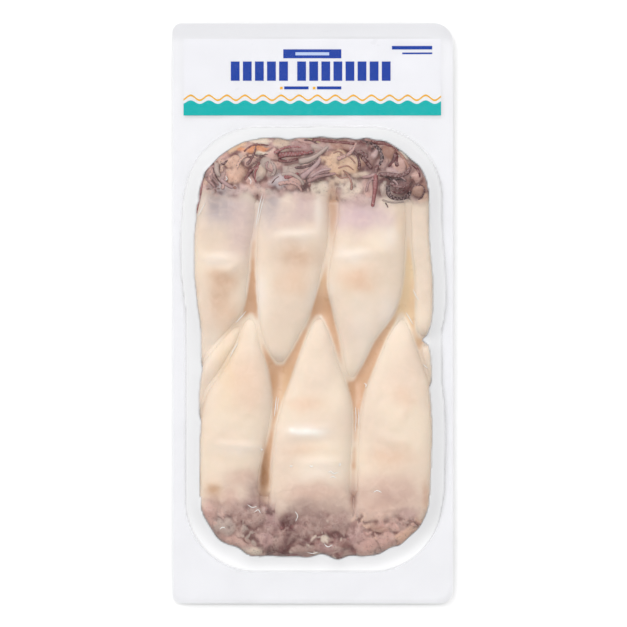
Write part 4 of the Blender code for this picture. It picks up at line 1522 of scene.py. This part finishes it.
def make_creases(skin):
    """Creases laid along the film, standing a little above it."""
    build = Build()
    angle = np.arange(6) / 6 * 2 * pi
    for crease in CREASES:
        path = spline(np.array(crease.path) * MM, 14)
        share = np.linspace(0, 1, 14)
        radius = crease.width * MM * rounded_end(np.minimum(share, 1 - share), 0.45)
        z = smooth_row(skin.height(path[:, 0], path[:, 1]), 0.5 * MM, 0.8 * MM)
        heading = np.gradient(path, axis=0)
        heading /= np.linalg.norm(heading, axis=1)[:, None]
        side = np.column_stack((-heading[:, 1], heading[:, 0], np.zeros(14)))
        middle = np.column_stack((path, z))
        across = side[:, None, :] * np.cos(angle)[None, :, None]
        upward = np.array((0, 0, 0.5)) * np.sin(angle)[None, :, None]
        build.tube(middle[:, None, :] + radius[:, None, None] * (across + upward))
    return build.piece("creases", crease_material(), "film")


def contents_edges(relief, along_x=False):
    """Low and high edge of the pile in each row of the relief that holds any, or in each column."""
    tall = relief.z > 6 * MM
    places, across = relief.ys, relief.xs
    if along_x:
        tall, places, across = tall.T, relief.xs, relief.ys
    held = tall.any(axis=1)
    low = across[tall[held].argmax(axis=1)]
    high = across[len(across) - 1 - tall[held][:, ::-1].argmax(axis=1)]
    low, high = (smooth_row(edge, relief.STEP, 1.2 * MM) for edge in (low, high))
    return places[held], low, high


def make_juice(relief):
    """Liquid drawn up into the gaps between the mantles, hidden where they stand close to the film."""
    level = stretched(relief.z, relief.STEP, JUICE_CURVE, 260)
    x, y = np.meshgrid(relief.xs, relief.ys)
    foot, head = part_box(CLUSTERS[3])[1][1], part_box(CLUSTERS[0])[0][1]
    between = smooth_step(y, foot - 3 * MM, foot + 3 * MM) * (1 - smooth_step(y, head - 1 * MM, head + 5 * MM))
    depth = blurred((level - relief.z) * between, 2)
    z = level - 0.1 * MM - 0.9 * MM * (1 - smooth_step(depth, 0.1 * MM, 1.2 * MM)) - 3 * MM * (1 - between)
    ys, lefts, rights = contents_edges(relief)
    inside = (x > np.interp(y, ys, lefts) + 0.5 * MM) & (x < np.interp(y, ys, rights) - 0.5 * MM)
    wanted = inside & (between > 0.02) & (z > SHEET)
    faces = grid_faces(*x.shape)
    used, faces = np.unique(faces[wanted.ravel()[faces].all(axis=1)], return_inverse=True)
    deep = patched(np.array(TINTS["juice"]), JUICE_PATCHES, x, y)
    thin = wall_colour(x, y)
    colour = thin + (deep - thin) * smooth_step(depth, 1.0 * MM, 6.5 * MM)[..., None]
    tint = np.concatenate((colour, np.ones((*x.shape, 1))), axis=-1).reshape(-1, 4)
    build = Build()
    build.add(np.stack((x, y, z), -1).reshape(-1, 3)[used], faces.reshape(-1, 4), tint=tint[used])
    return build.piece("juice", juice_material(), "mantle")


# ---------------------------------------------------------------- stage, light and camera


def make_stage():
    floor = bpy.data.meshes.new("floor")
    reach = 3.0
    floor.from_pydata([(-reach, -reach, -0.05 * MM), (reach, -reach, -0.05 * MM), (reach, reach, -0.05 * MM), (-reach, reach, -0.05 * MM)], [], [(0, 1, 2, 3)])
    paint = Paint("white_paper", Base_Color=(1, 1, 1, 1), Roughness=0.9, Specular_IOR_Level=0.0)
    floor.materials.append(paint.material)
    made = bpy.data.objects.new("floor", floor)
    bpy.context.scene.collection.objects.link(made)


def sun(name, azimuth, elevation, strength, width):
    """Even light from one direction: azimuth 0 is the pack's head, 90 its right side, all in degrees."""
    data = bpy.data.lights.new(name, "SUN")
    data.energy = strength
    data.angle = np.radians(width)
    made = bpy.data.objects.new(name, data)
    turn, rise = np.radians(azimuth), np.radians(elevation)
    towards = Vector((sin(turn) * cos(rise), cos(turn) * cos(rise), sin(rise)))
    made.rotation_mode = "QUATERNION"
    made.rotation_quaternion = (-towards).to_track_quat("-Z", "Y")
    bpy.context.scene.collection.objects.link(made)


def make_light():
    world = bpy.data.worlds.new("white_room")
    world.use_nodes = True
    background = world.node_tree.nodes["Background"]
    background.inputs["Color"].default_value = (1, 1, 1, 1)
    background.inputs["Strength"].default_value = 0.82
    bpy.context.scene.world = world
    sun("window", -40, 50, 0.67, 35)
    sun("lamp", 15, 68, 0.5, 9)


def make_camera():
    data = bpy.data.cameras.new("camera")
    data.lens = 100
    data.sensor_width = 36
    camera = bpy.data.objects.new("camera", data)
    camera.location = (0.4 * MM, -0.13 * MM, 0.935)
    bpy.context.scene.collection.objects.link(camera)
    bpy.context.scene.camera = camera


def main():
    bpy.context.scene.view_settings.view_transform = "Standard"
    tray = make_tray()
    label = make_label()
    make_print()
    flesh = flesh_material()
    bodies = make_mantles(flesh)
    clusters, relief = make_clusters(flesh, bodies)
    juice = make_juice(relief)
    skin = Skin([tray, label, juice, *bodies, *clusters])
    make_film(skin, relief)
    make_creases(skin)
    make_stage()
    make_light()
    make_camera()


main()
